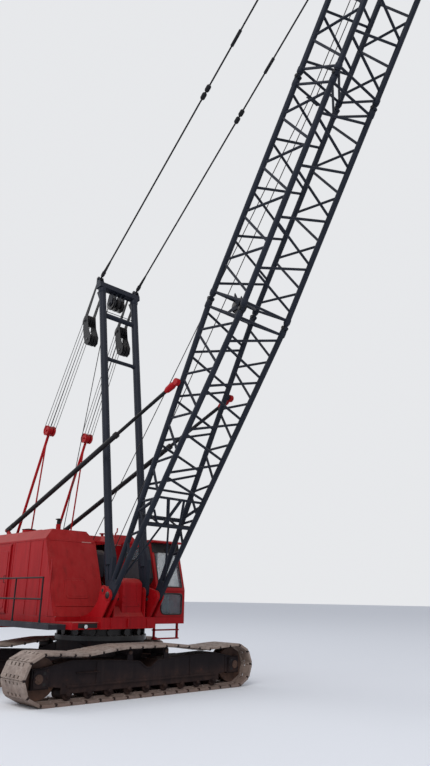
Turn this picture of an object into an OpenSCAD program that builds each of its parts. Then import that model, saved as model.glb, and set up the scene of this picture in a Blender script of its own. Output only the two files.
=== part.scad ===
// Crawler crane with a lattice boom and a tubular live mast, its upper works slewed across the tracks.
// Millimetres. +X is the way the upper works face, +Y is the operator's left, +Z is up.
// The origin is on the ground, on the slew axis.

/* [Undercarriage] */
// Distance between the centres of the two tracks, across the boom side and the tail side
track_gauge = 3860; // [3600:20:4200]
// Width of one track shoe
shoe_w = 1060; // [900:20:1200]
// Distance between the drive tumbler's and the idler's axle
axle_base = 6100; // [5600:50:6600]
// Radius of the shoe plates' middle round an end wheel
wrap_r = 540; // [500:10:560]
// Height of the shoe plates' middle on the raised stretch over the carrier rollers
hump_z = 1165; // [1140:5:1180]
// Height of the shoe plates' middle where the top run sags most
sag_z = 1035; // [1010:5:1080]
// Thickness of a shoe plate
shoe_t = 60; // [45:5:80]
// Wanted length of one shoe along the track
shoe_pitch = 390; // [340:10:480]
// Gap between two shoe plates
shoe_gap = 14; // [8:1:24]
// Width of a side frame
side_frame_w = 560; // [480:20:620]
// Number of bottom rollers in a side frame
roller_count = 9; // [7:1:10]
// Radius of a bottom roller's tread
roller_r = 125; // [100:5:140]
// Radius of the roller path on the carbody
ring_r = 1270; // [1150:10:1350]

/* [Upper works] */
// Height of the rotating bed's underside
bed_z = 1530; // [1500:10:1560]
// Thickness of the rotating bed
bed_t = 290; // [250:10:320]
// Place of the bed's front between the boom feet
bed_front_x = 1300; // [1280:10:1320]
// Half of the bed's and the machinery house's width
house_hw = 1700; // [1620:10:1780]
// Place of the house's rear wall
house_rear_x = -4280; // [-4500:20:-4100]
// Place of the right front wall's top edge
house_front_top_x = -690; // [-800:10:-600]
// Place of the right front wall's foot
house_front_foot_x = 250; // [150:10:350]
// Height of the house roof's flat top
roof_z = 4190; // [4100:10:4300]
// Height where the roof's chamfer meets the side wall
eaves_z = 3880; // [3800:10:3950]
// Thickness of the house's walls and roof
wall_t = 50; // [35:5:70]
// Depth of the counterweight behind the house
cw_depth = 720; // [600:20:900]
// Height of the counterweight
cw_h = 1500; // [1300:20:1700]

/* [Cab] */
// Place of the cab's right wall, beside the boom foot
cab_right_y = 950; // [940:5:1000]
// Width of the cab
cab_w = 1060; // [960:10:1120]
// Place of the cab's front at its foot
cab_front_x = 1240; // [1150:10:1300]
// Length of the cab
cab_len = 1790; // [1650:10:1850]
// Height of the cab's roof
cab_top_z = 3960; // [3900:10:4020]
// Thickness of the cab's walls
cab_wall = 45; // [35:5:60]

/* [Boom] */
// Angle of the boom above the horizontal as it stands
boom_angle = 59; // [50:1:70]
// Place of the boom foot pins
boom_foot_x = 1500; // [1450:10:1560]
// Height of the boom foot pins
boom_foot_z = 2380; // [2330:10:2450]
// Half of the distance between the two boom feet
boom_foot_hw = 800; // [790:5:820]
// Distance between the left and right chords' centres
boom_w = 1630; // [1600:10:1680]
// Distance between the upper and lower chords' centres
boom_d = 1300; // [1200:20:1400]
// Length of the butt section
butt_len = 8200; // [7800:50:8600]
// Length of one insert section
insert_len = 6000; // [5400:100:6600]
// Length of the top section
top_len = 8000; // [7400:50:8600]
// Diameter of a chord tube
chord_d = 150; // [130:5:160]
// Diameter of a lacing tube
lace_d = 70; // [50:5:80]

/* [Mast] */
// Lean of the mast back from the vertical as it stands
mast_lean = 8.8; // [5:0.2:12]
// Place of the mast foot pins
mast_foot_x = 1165; // [1140:5:1180]
// Height of the mast foot pins
mast_foot_z = 2480; // [2450:5:2520]
// Half of the distance between the mast's feet
mast_foot_hw = 590; // [580:5:600]
// Half of the distance between the legs at the mast's head
mast_head_hw = 650; // [620:10:680]
// Length of the mast from foot pin to head beam
mast_len = 9700; // [9300:50:10100]
// Diameter of a mast leg
mast_d = 230; // [200:5:240]

/* [Backstops and back hitch] */
// Distance of a backstop from the middle plane
stop_y = 985; // [970:5:1010]
// Place of the backstop's foot pin behind the roof
stop_foot_x = -4450; // [-4600:10:-4350]
// Height of the backstop's foot pin
stop_foot_z = 4400; // [4380:5:4460]
// Distance along the boom from its foot to the backstop's pin
stop_boom_s = 5860; // [5600:20:6100]
// Outer diameter of the backstop's tube
stop_d = 150; // [120:5:170]
// Distance of a back hitch link from the middle plane
hitch_y = 730; // [680:10:780]
// Place of a back hitch head
hitch_head_x = -2740; // [-2900:20:-2600]
// Height of a back hitch head
hitch_head_z = 7590; // [7300:10:7800]
// Place of a back hitch link's foot
hitch_foot_x = -4250; // [-4350:10:-4150]

/* [Hidden] */

red = [0.50, 0.07, 0.08];
steel_blue = [0.14, 0.17, 0.21];
black = [0.09, 0.09, 0.10];
dusty = [0.52, 0.46, 0.43];
grey = [0.30, 0.31, 0.33];
RIGHT = -1;
LEFT = 1;
SIDES = [RIGHT, LEFT];
// Running clearance between pieces of different bodies, and the gap between seated pieces of one body
run_gap = 5;
seat_gap = 0.3;
bed_top = bed_z + bed_t;
boom_len = butt_len + 2 * insert_len + top_len;

// Shapes that recur

// A solid round bar from point a to point b
module bar(a, b, r, fn = 40) {
    v = b - a;
    len = norm(v);
    translate(a)
        rotate([0, acos(v[2] / len), atan2(v[1], v[0])])
            cylinder(h = len, r = r, $fn = fn);
}

// A chord tube from a to b, its seam turned to a corner that no lacing meets
module chord_tube(a, b) {
    v = b - a;
    translate(a)
        rotate([0, acos(v[2] / norm(v)), atan2(v[1], v[0])])
            rotate([0, 0, 45])
                cylinder(h = norm(v), r = chord_d / 2, $fn = 32);
}

// A round bar along Y, centred on y
module pin_y(x, y, z, r, len) {
    translate([x, y + len / 2, z])
        rotate([90, 0, 0])
            cylinder(h = len, r = r, $fn = 40);
}

// A flat profile drawn in X and Z, centred on y with thickness t
module plate_y(y, t) {
    translate([0, y + t / 2, 0])
        rotate([90, 0, 0])
            linear_extrude(height = t)
                children();
}

module box(x0, x1, y0, y1, z0, z1) {
    translate([min(x0, x1), min(y0, y1), min(z0, z1)])
        cube([abs(x1 - x0), abs(y1 - y0), abs(z1 - z0)]);
}

// A sheave with a grooved rim, its axis along Y
module sheave(x, y, z, r, w) {
    translate([x, y, z])
        rotate([90, 0, 0])
            rotate_extrude($fn = 48)
                polygon([[0, -w * 0.55], [r * 0.2, -w * 0.55], [r * 0.22, -w * 0.2], [r * 0.8, -w * 0.2],
                    [r * 0.85, -w / 2], [r, -w / 2], [r * 0.92, 0], [r, w / 2], [r * 0.85, w / 2],
                    [r * 0.8, w * 0.2], [r * 0.22, w * 0.2], [r * 0.2, w * 0.55], [0, w * 0.55]]);
}

// Undercarriage

shoe_mid = shoe_t / 2;
axle_hl = axle_base / 2;
axle_z = wrap_r + shoe_mid;
// Half length of the raised stretch of the top run, and the place of the sag's lowest point
hump_hl = 2.2 * shoe_pitch;
sag_y = (hump_hl + axle_hl) / 2;
band_t = 42;

// Closed path of the shoe plates' middle, as [y, z] corners: bottom run, one end, top run, other end
path_corners = concat(
    [for (a = [-90 : 15 : 90]) [axle_hl + wrap_r * cos(a), axle_z + wrap_r * sin(a)]],
    [[sag_y, sag_z], [hump_hl, hump_z], [-hump_hl, hump_z], [-sag_y, sag_z]],
    [for (a = [90 : 15 : 270]) [-axle_hl + wrap_r * cos(a), axle_z + wrap_r * sin(a)]]);
path_n = len(path_corners);
function corner(i) = path_corners[i % path_n];
function edge_len(i) = norm(corner(i + 1) - corner(i));
function run_to(i) = i == 0 ? 0 : run_to(i - 1) + edge_len(i - 1);
path_len = run_to(path_n);
// An even count, so that a shoe lies on each side of the middle
shoe_count = 2 * round(path_len / shoe_pitch / 2);
function point_on(s, i = 0) =
    s <= edge_len(i) || i >= path_n - 1
        ? corner(i) + (corner(i + 1) - corner(i)) * min(1, s / edge_len(i))
        : point_on(s - edge_len(i), i + 1);
pitch = path_len / shoe_count;
// The first hinge pin lies at the middle of the raised stretch
mid_top = (path_len - axle_base) / 2;
function wrapped(s) = s >= path_len ? s - path_len : s;
shoe_pins = [for (i = [0 : shoe_count - 1]) point_on(wrapped(mid_top + i * pitch))];

// Drawn in the plane of Y and Z, then extruded along X
module across(x0, x1) {
    translate([x0, 0, 0])
        rotate([90, 0, 90])
            linear_extrude(height = x1 - x0)
                children();
}

function pin_at(i) = shoe_pins[(i + shoe_count) % shoe_count];
// Direction from a shoe's plate to the inside of the loop
function inward(i) = let (v = pin_at(i + 1) - pin_at(i)) [-v[1], v[0]] / norm(v);
function mitre(i) = let (n = inward(i - 1) + inward(i)) n / norm(n);

// One shoe's plate between two hinge pins
module shoe_plate(a, b) {
    v = b - a;
    translate(a)
        rotate(atan2(v[1], v[0]))
            translate([shoe_gap / 2, -shoe_mid])
                square([norm(v) - shoe_gap, shoe_t]);
}

// The shoes' plates outside and the band of their links inside
module shoe_loop() {
    difference() {
        polygon(shoe_pins);
        polygon([for (i = [0 : shoe_count - 1]) pin_at(i) + mitre(i) * band_t / (mitre(i) * inward(i))]);
    }
    for (i = [0 : shoe_count - 1])
        shoe_plate(pin_at(i), pin_at(i + 1));
}

// A track: a loop of flat shoes on a narrower link band
module track(side_x) {
    color(dusty)
        translate([side_x, 0, 0])
            across(-shoe_w / 2, shoe_w / 2)
                shoe_loop();
}

module track_front() { track(track_gauge / 2); }
module track_rear() { track(-track_gauge / 2); }

rail_z = shoe_mid + band_t;
// Least distance of a shoe's inner face from the axle as it bends round an end wheel
tumbler_r = sqrt(pow(wrap_r * cos(7.5), 2) - pow(pitch / 2, 2)) - band_t - seat_gap;
roller_z = rail_z + seat_gap + roller_r;
frame_low_z = roller_z + roller_r + 12;
frame_top_z = 930;
roller_span = axle_base - 1500;
roller_places = [for (i = [0 : roller_count - 1]) (i / (roller_count - 1) - 0.5) * roller_span];
carrier_places = [-1.5 * pitch, 1.5 * pitch];
notch_hl = 290;
notch_z = 665;
bearing_block = 440;
// Half width of the cap bolted over a bearing block, and how far it stands out
cap_hw = 190;
cap_t = 40;
frame_plate = 30;
wheel_hw = side_frame_w / 2 - 90;
wheel_gap = 0.5;

// Side outline of a side frame as [y, z]: low between the rollers, notched under the carrier rollers
frame_outline = [[-axle_hl, axle_z - bearing_block / 2], [-axle_hl + bearing_block / 2, frame_low_z + 60],
    [-axle_hl + 700, frame_low_z], [axle_hl - 700, frame_low_z],
    [axle_hl - bearing_block / 2, frame_low_z + 60],
    [axle_hl, axle_z - bearing_block / 2], [axle_hl, axle_z + bearing_block / 2], [axle_hl - 800, frame_top_z],
    [900, frame_top_z - 60], [notch_hl, frame_top_z - 110], [60, notch_z], [-60, notch_z],
    [-notch_hl, frame_top_z - 110], [-900, frame_top_z - 60], [-axle_hl + 800, frame_top_z],
    [-axle_hl, axle_z + bearing_block / 2]];

// Lug beside a track roller at y, from the height where it leaves the frame to the one where it ends
module roller_lug(y, foot_hw, foot_z, end_hw, end_z) {
    polygon([[y - foot_hw, foot_z], [y - end_hw, end_z], [y + end_hw, end_z], [y + foot_hw, foot_z]]);
}

// One side plate's lugs and its skirt over the rollers' upper half
module lug_plate(x0) {
    skirt_hl = roller_span / 2 + 200;
    across(x0, x0 + frame_plate) {
        for (y = roller_places)
            roller_lug(y, 105, frame_low_z + 5, 45, roller_z - 50);
        for (y = carrier_places)
            roller_lug(y, 100, frame_top_z - 160, 60, carrier_z + 50);
        translate([-skirt_hl, roller_z + 20])
            square([2 * skirt_hl, frame_low_z - roller_z]);
    }
}

// Long box frame of one track: bearing blocks with caps round the axles, lugs to the rollers, a ridge
// along each lower edge
module side_frame(x) {
    hw = side_frame_w / 2;
    ridge_hl = axle_hl - 700;
    translate([x, 0, 0])
        difference() {
            union() {
                across(-hw, hw)
                    polygon(frame_outline);
                for (y = [-axle_hl, axle_hl]) {
                    box(-hw, hw, y - bearing_block / 2, y + bearing_block / 2, axle_z - bearing_block / 2,
                        axle_z + bearing_block / 2);
                    box(-hw - cap_t, hw + cap_t, y - cap_hw, y + cap_hw, axle_z - cap_hw, axle_z + cap_hw);
                }
                box(-hw - 25, hw + 25, -ridge_hl, ridge_hl, frame_low_z + 10, frame_low_z + 50);
                for (x0 = [-hw, hw - frame_plate])
                    lug_plate(x0);
            }
            for (y = [-axle_hl, axle_hl])
                translate([-wheel_hw, y, axle_z])
                    rotate([0, 90, 0])
                        cylinder(h = 2 * wheel_hw, r = wrap_r, $fn = 64);
        }
}

module side_frames() {
    color(black)
        for (side = SIDES)
            side_frame(side * track_gauge / 2);
}

// End wheel of a track: two rims on a hub, between the side frame's bearing blocks
module end_wheel(x, y) {
    translate([x, y, axle_z])
        rotate([0, 90, 0]) {
            translate([0, 0, -wheel_hw + wheel_gap])
                cylinder(h = 2 * (wheel_hw - wheel_gap), r = 150, $fn = 40);
            for (z = [-wheel_hw + 15, wheel_hw - 105])
                translate([0, 0, z])
                    cylinder(h = 90, r = tumbler_r, $fn = 48);
        }
}

module drive_tumblers() {
    color(black)
        for (side = SIDES)
            end_wheel(side * track_gauge / 2, axle_hl);
}

module idlers() {
    color(black)
        for (side = SIDES)
            end_wheel(side * track_gauge / 2, -axle_hl);
}

// A track roller between the side frame's lugs, its axis along X
module frame_roller(y, z, r) {
    len = side_frame_w - 2 * frame_plate - 2 * seat_gap;
    for (side = SIDES)
        translate([side * track_gauge / 2, y, z])
            rotate([0, 90, 0])
                cylinder(h = len, r = r, center = true, $fn = 32);
}

module bottom_rollers() {
    color(black)
        for (y = roller_places)
            frame_roller(y, roller_z, roller_r);
}

carrier_r = 100;
carrier_z = hump_z - band_t - seat_gap - carrier_r;

module carrier_rollers() {
    color(black)
        for (y = carrier_places)
            frame_roller(y, carrier_z, carrier_r);
}

hub_low_z = 560;
hub_bore_r = 330;
path_z = 1230;
path_h = 120;
// Middle, half width and heights of an axle beam
beam_y = 1050;
beam_hw = 260;
beam_low_z = frame_low_z + 86;
beam_top_z = 860;

// Centre casting between the side frames, with two deep axle beams
module carbody() {
    inner = track_gauge / 2 - side_frame_w / 2 - seat_gap;
    color(black) {
        difference() {
            translate([0, 0, hub_low_z])
                cylinder(h = path_z - hub_low_z, r = ring_r - 60, $fn = 64);
            translate([0, 0, hub_low_z - 1])
                cylinder(h = path_z, r = hub_bore_r, $fn = 48);
        }
        for (y = [-beam_y, beam_y])
            box(-inner, inner, y - beam_hw, y + beam_hw, beam_low_z, beam_top_z);
    }
}

swing_r = ring_r - 150;
gear_r = swing_r - 30;

// Flat path of the swing rollers and the slewing gear's ring inside it
module roller_path() {
    color(grey)
        translate([0, 0, path_z + seat_gap])
            difference() {
                union() {
                    cylinder(h = path_h, r = ring_r, $fn = 96);
                    cylinder(h = bed_z - path_z - 20, r = gear_r, $fn = 96);
                }
                translate([0, 0, -1])
                    cylinder(h = bed_z - path_z, r = gear_r - 90, $fn = 96);
            }
}

// Upper works

swing_count = 16;

// Rollers under the bed that run on the path
module swing_rollers() {
    r = (bed_z - path_z - path_h - 3 * seat_gap) / 2;
    color(grey)
        for (i = [0 : swing_count - 1])
            rotate([0, 0, i * 360 / swing_count])
                translate([swing_r, 0, bed_z - seat_gap - r])
                    rotate([0, 90, 0])
                        cylinder(h = 110, r = r, $fn = 32);
}

// The ledge before the right half of the house, and the half width of the bed's nose under the boom feet
ledge_front_x = bed_front_x - 120;
ledge_z = bed_top - 120;
nose_hw = boom_foot_hw + 100;
cab_low_z = bed_top - 180;

module rotating_bed() {
    color(red)
        difference() {
            union() {
                box(house_rear_x, house_front_foot_x + 60, -house_hw, house_hw, bed_z, bed_top);
                box(house_front_foot_x, ledge_front_x, -house_hw, 0, bed_z, ledge_z);
                box(house_front_foot_x, bed_front_x, -nose_hw, nose_hw, bed_z, bed_top);
                box(cab_rear_x, cab_front_x, 0, cab_left_y, cab_low_z, bed_top);
            }
            translate([0, 0, bed_z - 1])
                cylinder(h = bed_t + 2, r = 260, $fn = 48);
        }
}

lug_t = 100;
mast_lug_t = 110;
boom_pin_r = 60;
mast_pin_r = 50;
cheek = 35;
boom_lug_r = 150;

// Cheek plates of one side: [inner y, outer y]
cheek_plates = [
    [mast_foot_hw - mast_lug_t / 2 - run_gap - cheek, mast_foot_hw - mast_lug_t / 2 - run_gap],
    [mast_foot_hw + mast_lug_t / 2 + run_gap, boom_foot_hw - lug_t / 2 - run_gap],
    [boom_foot_hw + lug_t / 2 + run_gap, boom_foot_hw + lug_t / 2 + run_gap + cheek]];

cheek_front_x = bed_front_x - 10;
mast_lug_r = 130;

// Cheek plate outline round up to two eyes, each [x, z, radius], on a foot from foot_x to the bed's front
module cheek_profile(eyes, foot_x) {
    hull() {
        for (eye = eyes)
            translate([eye[0], eye[1]]) circle(r = eye[2], $fn = 32);
        translate([foot_x, bed_top]) square([cheek_front_x - foot_x, 10]);
    }
}

gusset_x = house_front_foot_x + 30;
gusset_r = cheek_front_x - gusset_x - 110;

// Curved gusset from the outer cheek's back down to the deck
module rear_gusset() {
    difference() {
        translate([gusset_x, bed_top]) square([gusset_r, gusset_r * 0.7]);
        translate([gusset_x, bed_top + gusset_r + 15]) circle(r = gusset_r, $fn = 96);
    }
}

// One cheek plate between its inner and outer y
module cheek_plate(side, i) {
    y = cheek_plates[i];
    plate_y(side * (y[0] + y[1]) / 2, y[1] - y[0])
        children();
}

// A pin through cheek plates i and i + 1
module cheek_pin(side, i, x, z, r) {
    y0 = cheek_plates[i][0];
    y1 = cheek_plates[i + 1][1];
    pin_y(x, side * (y0 + y1) / 2, z, r, y1 - y0 + 20);
}

module hinge_brackets() {
    mast_eye = [mast_foot_x, mast_foot_z, mast_lug_r];
    boom_eye = [boom_foot_x, boom_foot_z, boom_lug_r];
    color(red)
        for (side = SIDES) {
            cheek_plate(side, 0)
                cheek_profile([mast_eye], mast_foot_x - 330);
            cheek_plate(side, 1)
                cheek_profile([mast_eye, boom_eye], mast_foot_x - 330);
            cheek_plate(side, 2) {
                cheek_profile([mast_eye + [100, 20, 0], boom_eye], cheek_front_x - 370);
                rear_gusset();
            }
            cheek_pin(side, 0, mast_foot_x, mast_foot_z, mast_pin_r);
            cheek_pin(side, 1, boom_foot_x, boom_foot_z, boom_pin_r);
        }
}

module counterweight() {
    color(red)
        plate_y(0, 2 * house_hw - 100)
            polygon([[house_rear_x - seat_gap, bed_z - 160], [house_rear_x - cw_depth + 120, bed_z - 160],
                [house_rear_x - cw_depth, bed_z], [house_rear_x - cw_depth, bed_z + cw_h - 350],
                [house_rear_x - cw_depth + 160, bed_z + cw_h - 160],
                [house_rear_x - seat_gap, bed_z + cw_h - 160]]);
}

module engine() {
    color(grey)
        box(house_rear_x + 350, house_rear_x + 1250, -950, 950, bed_top + seat_gap, bed_top + 1250);
}

drum_hw = 420;
front_drum_x = -950;
rear_drum_x = -2400;
drum_z = bed_top + 560;

// A rope drum with two flanges, carried by two pedestals
module drum(x) {
    pin_y(x, 0, drum_z, 260, 2 * drum_hw);
    for (side = SIDES) {
        pin_y(x, side * drum_hw, drum_z, 430, 40);
        plate_y(side * (drum_hw + 90), 60)
            hull() {
                translate([x, drum_z]) circle(r = 120, $fn = 32);
                translate([x - 300, bed_top]) square([600, 10]);
            }
        pin_y(x, side * (drum_hw + 60), drum_z, 70, 160);
    }
}

module front_drum() { color(grey) drum(front_drum_x); }
module rear_drum() { color(grey) drum(rear_drum_x); }

// Machinery house

// Side outline of the right half, with the raked front
module house_side_profile(top) {
    polygon([[house_rear_x, bed_top], [house_front_foot_x, bed_top],
        [front_x(top), top], [house_rear_x, top]]);
}

door_x0 = -3400;
door_x1 = -2600;
door_z0 = bed_top + 120;
door_z1 = 3720;
door_lap = 60;
door_t = 35;
door_rail = 30;
left_front_x = cab_front_x - cab_len - 60;
// The middle bay between the right and the left half, open to the front
bay_right_y = -40;
bay_left_y = 600;
bay_rear_x = -1500;
bay_front_x = -520;
rake = (house_front_foot_x - house_front_top_x) / (roof_z - bed_top);
function front_x(z) = house_front_foot_x - rake * (z - bed_top);

// Side wall with a doorway and the door's lower and upper rail
module side_wall(side) {
    difference() {
        if (side == RIGHT)
            plate_y(-house_hw + wall_t / 2, wall_t)
                house_side_profile(eaves_z);
        else
            box(house_rear_x, left_front_x, house_hw - wall_t, house_hw, bed_top, eaves_z);
        box(door_x0, door_x1, side * (house_hw - wall_t - 10), side * (house_hw + 10), door_z0, door_z1);
    }
    for (z = [door_z0 - door_lap - seat_gap - door_rail, door_z1 + door_lap + seat_gap])
        box(house_rear_x + 10, door_x1 + door_lap + 40, side * (house_hw - 5),
            side * (house_hw + run_gap + door_t), z, z + door_rail);
}

module house_right() { color(red) side_wall(RIGHT); }
module house_left() { color(red) side_wall(LEFT); }

// Raked wall of the right front with its cheek beside the bay, and the left half's front behind the cab
module house_front() {
    cheek_z = bed_top + (house_front_foot_x - bay_front_x) / rake;
    color(red) {
        plate_y((bay_right_y - house_hw + wall_t) / 2, bay_right_y + house_hw - wall_t)
            polygon([[house_front_foot_x - wall_t, bed_top], [house_front_foot_x, bed_top],
                [front_x(eaves_z), eaves_z], [front_x(eaves_z) - wall_t, eaves_z]]);
        plate_y(bay_right_y - wall_t / 2, wall_t)
            polygon([[bay_front_x + 10, bed_top], [house_front_foot_x - 10, bed_top],
                [bay_front_x + 10, cheek_z - 40]]);
        box(left_front_x - wall_t, left_front_x, bay_left_y, house_hw - wall_t, bed_top, eaves_z);
    }
}

module house_rear() {
    color(red)
        box(house_rear_x, house_rear_x + wall_t, -house_hw + wall_t, house_hw - wall_t, bed_top, eaves_z);
}

// Cross section of the roof: upright edge, chamfer, flat top
module roof_section(inset, y0, y1) {
    polygon([[y0 + inset, eaves_z], [y0 + inset, eaves_z + 20], [y0 + 260 + inset * 0.4, roof_z - inset],
        [y1 - 260 - inset * 0.4, roof_z - inset], [y1 - inset, eaves_z + 20], [y1 - inset, eaves_z]]);
}

// A length of roof, its front end closed and cut back to the rake
module roof_length(x0, x1, y0, y1) {
    difference() {
        across(x0, x1)
            roof_section(0, y0, y1);
        translate([0, 0, -1])
            across(x0 + wall_t, x1 - wall_t - (roof_z - eaves_z) * rake)
                roof_section(wall_t, y0, y1);
        plate_y(0, 2 * house_hw + 10)
            polygon([[x1, eaves_z], [x1 + 10, eaves_z - 1], [x1 + 10, roof_z + 1],
                [x1 - (roof_z - eaves_z) * rake, roof_z]]);
    }
}

module house_roof() {
    color(red) {
        roof_length(house_rear_x, bay_rear_x, -house_hw, house_hw);
        roof_length(bay_rear_x - 200, front_x(eaves_z), -house_hw, bay_right_y);
        roof_length(bay_rear_x - 200, left_front_x, bay_left_y, house_hw);
        difference() {
            box(bay_rear_x - 100, bay_front_x, bay_right_y - 20, bay_left_y + 20, eaves_z, eaves_z + wall_t);
            box(bay_rear_x + 80, bay_front_x - 130, bay_right_y + 100, bay_left_y - 100, eaves_z - 1,
                eaves_z + wall_t + 1);
        }
    }
}

module side_door(side) {
    color(red)
        box(door_x0 - door_lap, door_x1 + door_lap, side * (house_hw + run_gap),
            side * (house_hw + run_gap + door_t), door_z0 - door_lap, door_z1 + door_lap);
}

module side_door_right() { side_door(RIGHT); }
module side_door_left() { side_door(LEFT); }

stop_ear_t = 25;
stop_plate_t = 60;
stop_pin_r = 30;

// Round caps and stacks on the roof: [x, y, height, radius], placed from the bay's rear and the middle
roof_caps = [[bay_rear_x - 250, -0.38 * house_hw, 260, 75], [bay_rear_x - 1100, -0.69 * house_hw, 90, 200],
    [bay_rear_x - 400, 0.12 * house_hw, 70, 70], [bay_rear_x - 500, 0.68 * house_hw, 110, 45]];
rain_cap_r = 95;

module roof_fittings() {
    color(black) {
        for (cap = roof_caps)
            translate([cap[0], cap[1], roof_z + seat_gap])
                cylinder(h = cap[2], r = cap[3], $fn = 32);
        translate([roof_caps[3][0], roof_caps[3][1], roof_z + seat_gap + roof_caps[3][2] - 5])
            cylinder(h = 35, r = rain_cap_r, $fn = 32);
    }
    color(red)
        for (side = SIDES) {
            plate_y(side * stop_y, stop_plate_t)
                hull() {
                    translate([stop_foot_x, stop_foot_z]) circle(r = 60, $fn = 32);
                    translate([house_rear_x, roof_z + seat_gap]) square([220, 10]);
                }
            pin_y(stop_foot_x, side * stop_y, stop_foot_z, stop_pin_r,
                stop_plate_t + 2 * (stop_ear_t + run_gap) + 10);
        }
}

// Humped cover over the swing gear, set to the left between the boom feet
cover_y0 = -200;
cover_y1 = 455;
cover_x0 = bed_front_x - 680;
cover_x1 = bed_front_x - 100;
cover_top_z = bed_top + 1020;
cover_round = 170;

// Upright outline with round upper corners, from a to b
module domed(a, b) {
    r = cover_round;
    polygon(concat([[a, bed_top], [b, bed_top]],
        [for (t = [0 : 15 : 90]) [b - r * (1 - cos(t)), cover_top_z - r * (1 - sin(t))]],
        [for (t = [90 : 15 : 180]) [a + r * (1 + cos(t)), cover_top_z - r * (1 - sin(t))]]));
}

module front_cover() {
    apron_hw = cheek_plates[0][0] - run_gap;
    color(red) {
        intersection() {
            across(cover_x0, cover_x1)
                domed(cover_y0, cover_y1);
            plate_y(0, 2 * house_hw)
                domed(cover_x0, cover_x1);
        }
        plate_y(0, 2 * apron_hw)
            polygon([[cover_x0 + 300, bed_top], [cheek_front_x, bed_top], [cheek_front_x, bed_top + 25],
                [cover_x1 - 140, bed_top + 270], [cover_x0 + 300, bed_top + 270]]);
    }
}

walk_w = 500;
walk_z = bed_z + 120;
walk_d = 125;
walk_rim = 60;
walk_front_x = house_front_foot_x + 630;

// Walkway on one side: a deck with a deep rim
module walkway(side, x0, x1) {
    difference() {
        box(x0, x1, side * (house_hw + seat_gap), side * (house_hw + walk_w), walk_z - walk_d, walk_z);
        box(x0 + walk_rim, x1 - walk_rim, side * (house_hw + walk_rim), side * (house_hw + walk_w - walk_rim),
            walk_z - walk_d - 1, walk_z - 40);
    }
}

module walkways() {
    color(grey) {
        walkway(RIGHT, house_rear_x + walk_rim, walk_front_x);
        walkway(LEFT, house_rear_x + walk_rim, left_front_x);
    }
}

rail_y = house_hw + walk_w - 40;
rail_r = 22;
rail_top_z = bed_top + 980;
rail_mid_z = bed_top + 440;
post_count = 4;

// Handrail on one side: posts from x0 to x1 under two rails
module handrail(side, x0, x1) {
    for (i = [0 : post_count - 1]) {
        x = x0 + i * (x1 - x0) / (post_count - 1);
        bar([x, side * rail_y, walk_z], [x, side * rail_y, rail_top_z], rail_r);
    }
    for (z = [rail_mid_z, rail_top_z])
        bar([x0 - rail_r, side * rail_y, z], [x1 + rail_r, side * rail_y, z], rail_r);
}

module handrails() {
    color(black) {
        handrail(RIGHT, house_rear_x + 160, house_front_foot_x + 80);
        handrail(LEFT, house_rear_x + 160, left_front_x - 120);
    }
}

// Cab

cab_left_y = cab_right_y + cab_w;
cab_z = bed_top;
cab_sill_z = 2560;
cab_rear_x = cab_front_x - cab_len;
screen_rake = 380;
cab_wall_top = cab_top_z - 80;

// Side outline: upright front foot, then the raked windscreen
module cab_profile(inset) {
    polygon([[cab_rear_x + inset, cab_z + inset], [cab_front_x - inset, cab_z + inset],
        [cab_front_x - inset, cab_sill_z], [cab_front_x - screen_rake - inset, cab_wall_top - inset],
        [cab_rear_x + inset, cab_wall_top - inset]]);
}

// Lower front pane in Y and Z, its lower right corner widely rounded
module front_pane() {
    z0 = cab_z + 75;
    z1 = cab_sill_z - 105;
    y0 = cab_right_y + 170;
    y1 = cab_left_y - 110;
    hull() {
        translate([y0 + 150, z0 + 150]) circle(r = 150, $fn = 32);
        for (c = [[y1 - 70, z0 + 70], [y1 - 70, z1 - 70], [y0 + 70, z1 - 70]])
            translate(c) circle(r = 70, $fn = 24);
    }
}

module cab_shell() {
    mid_y = (cab_right_y + cab_left_y) / 2;
    color(red)
        difference() {
            plate_y(mid_y, cab_w)
                cab_profile(0);
            plate_y(mid_y, cab_w - 2 * cab_wall)
                cab_profile(cab_wall);
            // right window
            plate_y(cab_right_y, 4 * cab_wall)
                polygon(right_window);
            // door opening
            plate_y(cab_left_y, 4 * cab_wall)
                polygon(door_opening);
            // windscreen
            plate_y(mid_y, cab_w - 200)
                polygon([[cab_front_x + 50, screen_z0], [cab_front_x - screen_rake + 50, screen_z1],
                    [cab_front_x - screen_rake - 150, screen_z1], [cab_front_x - 150, screen_z0]]);
            // lower front window
            across(cab_front_x - 100, cab_front_x + 100)
                front_pane();
            // rear window
            box(cab_rear_x - 50, cab_rear_x + 100, mid_y - rear_win_hw, mid_y + rear_win_hw, win_z0,
                rear_win_z1);
        }
    color(red)
        for (z = hinge_zs) {
            box(hinge_x - hinge_r, hinge_x + hinge_r, cab_left_y - 5, hinge_y, z - hinge_h, z);
            translate([hinge_x, hinge_y, z - hinge_h])
                cylinder(h = hinge_h, r = hinge_r, $fn = 32);
            translate([hinge_x, hinge_y, z - hinge_h + 1])
                cylinder(h = 2 * hinge_h - 10, r = 10, $fn = 32);
        }
}

win_z0 = 2860;
win_z1 = 3760;
rear_win_z1 = 3600;
rear_win_hw = cab_w / 2 - 220;
function screen_x(z) = cab_front_x - screen_rake * (z - cab_sill_z) / (cab_wall_top - cab_sill_z);
right_window = [[cab_rear_x + 200, win_z0], [screen_x(win_z0) - 100, win_z0], [screen_x(win_z1) - 100, win_z1],
    [cab_rear_x + 200, win_z1]];
door_x_rear = cab_rear_x + 300;
door_opening = [[door_x_rear, cab_z + 100], [cab_front_x - 130, cab_z + 100], [cab_front_x - 130, cab_sill_z],
    [screen_x(cab_wall_top - 90) - 130, cab_wall_top - 90], [door_x_rear, cab_wall_top - 90]];

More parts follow.
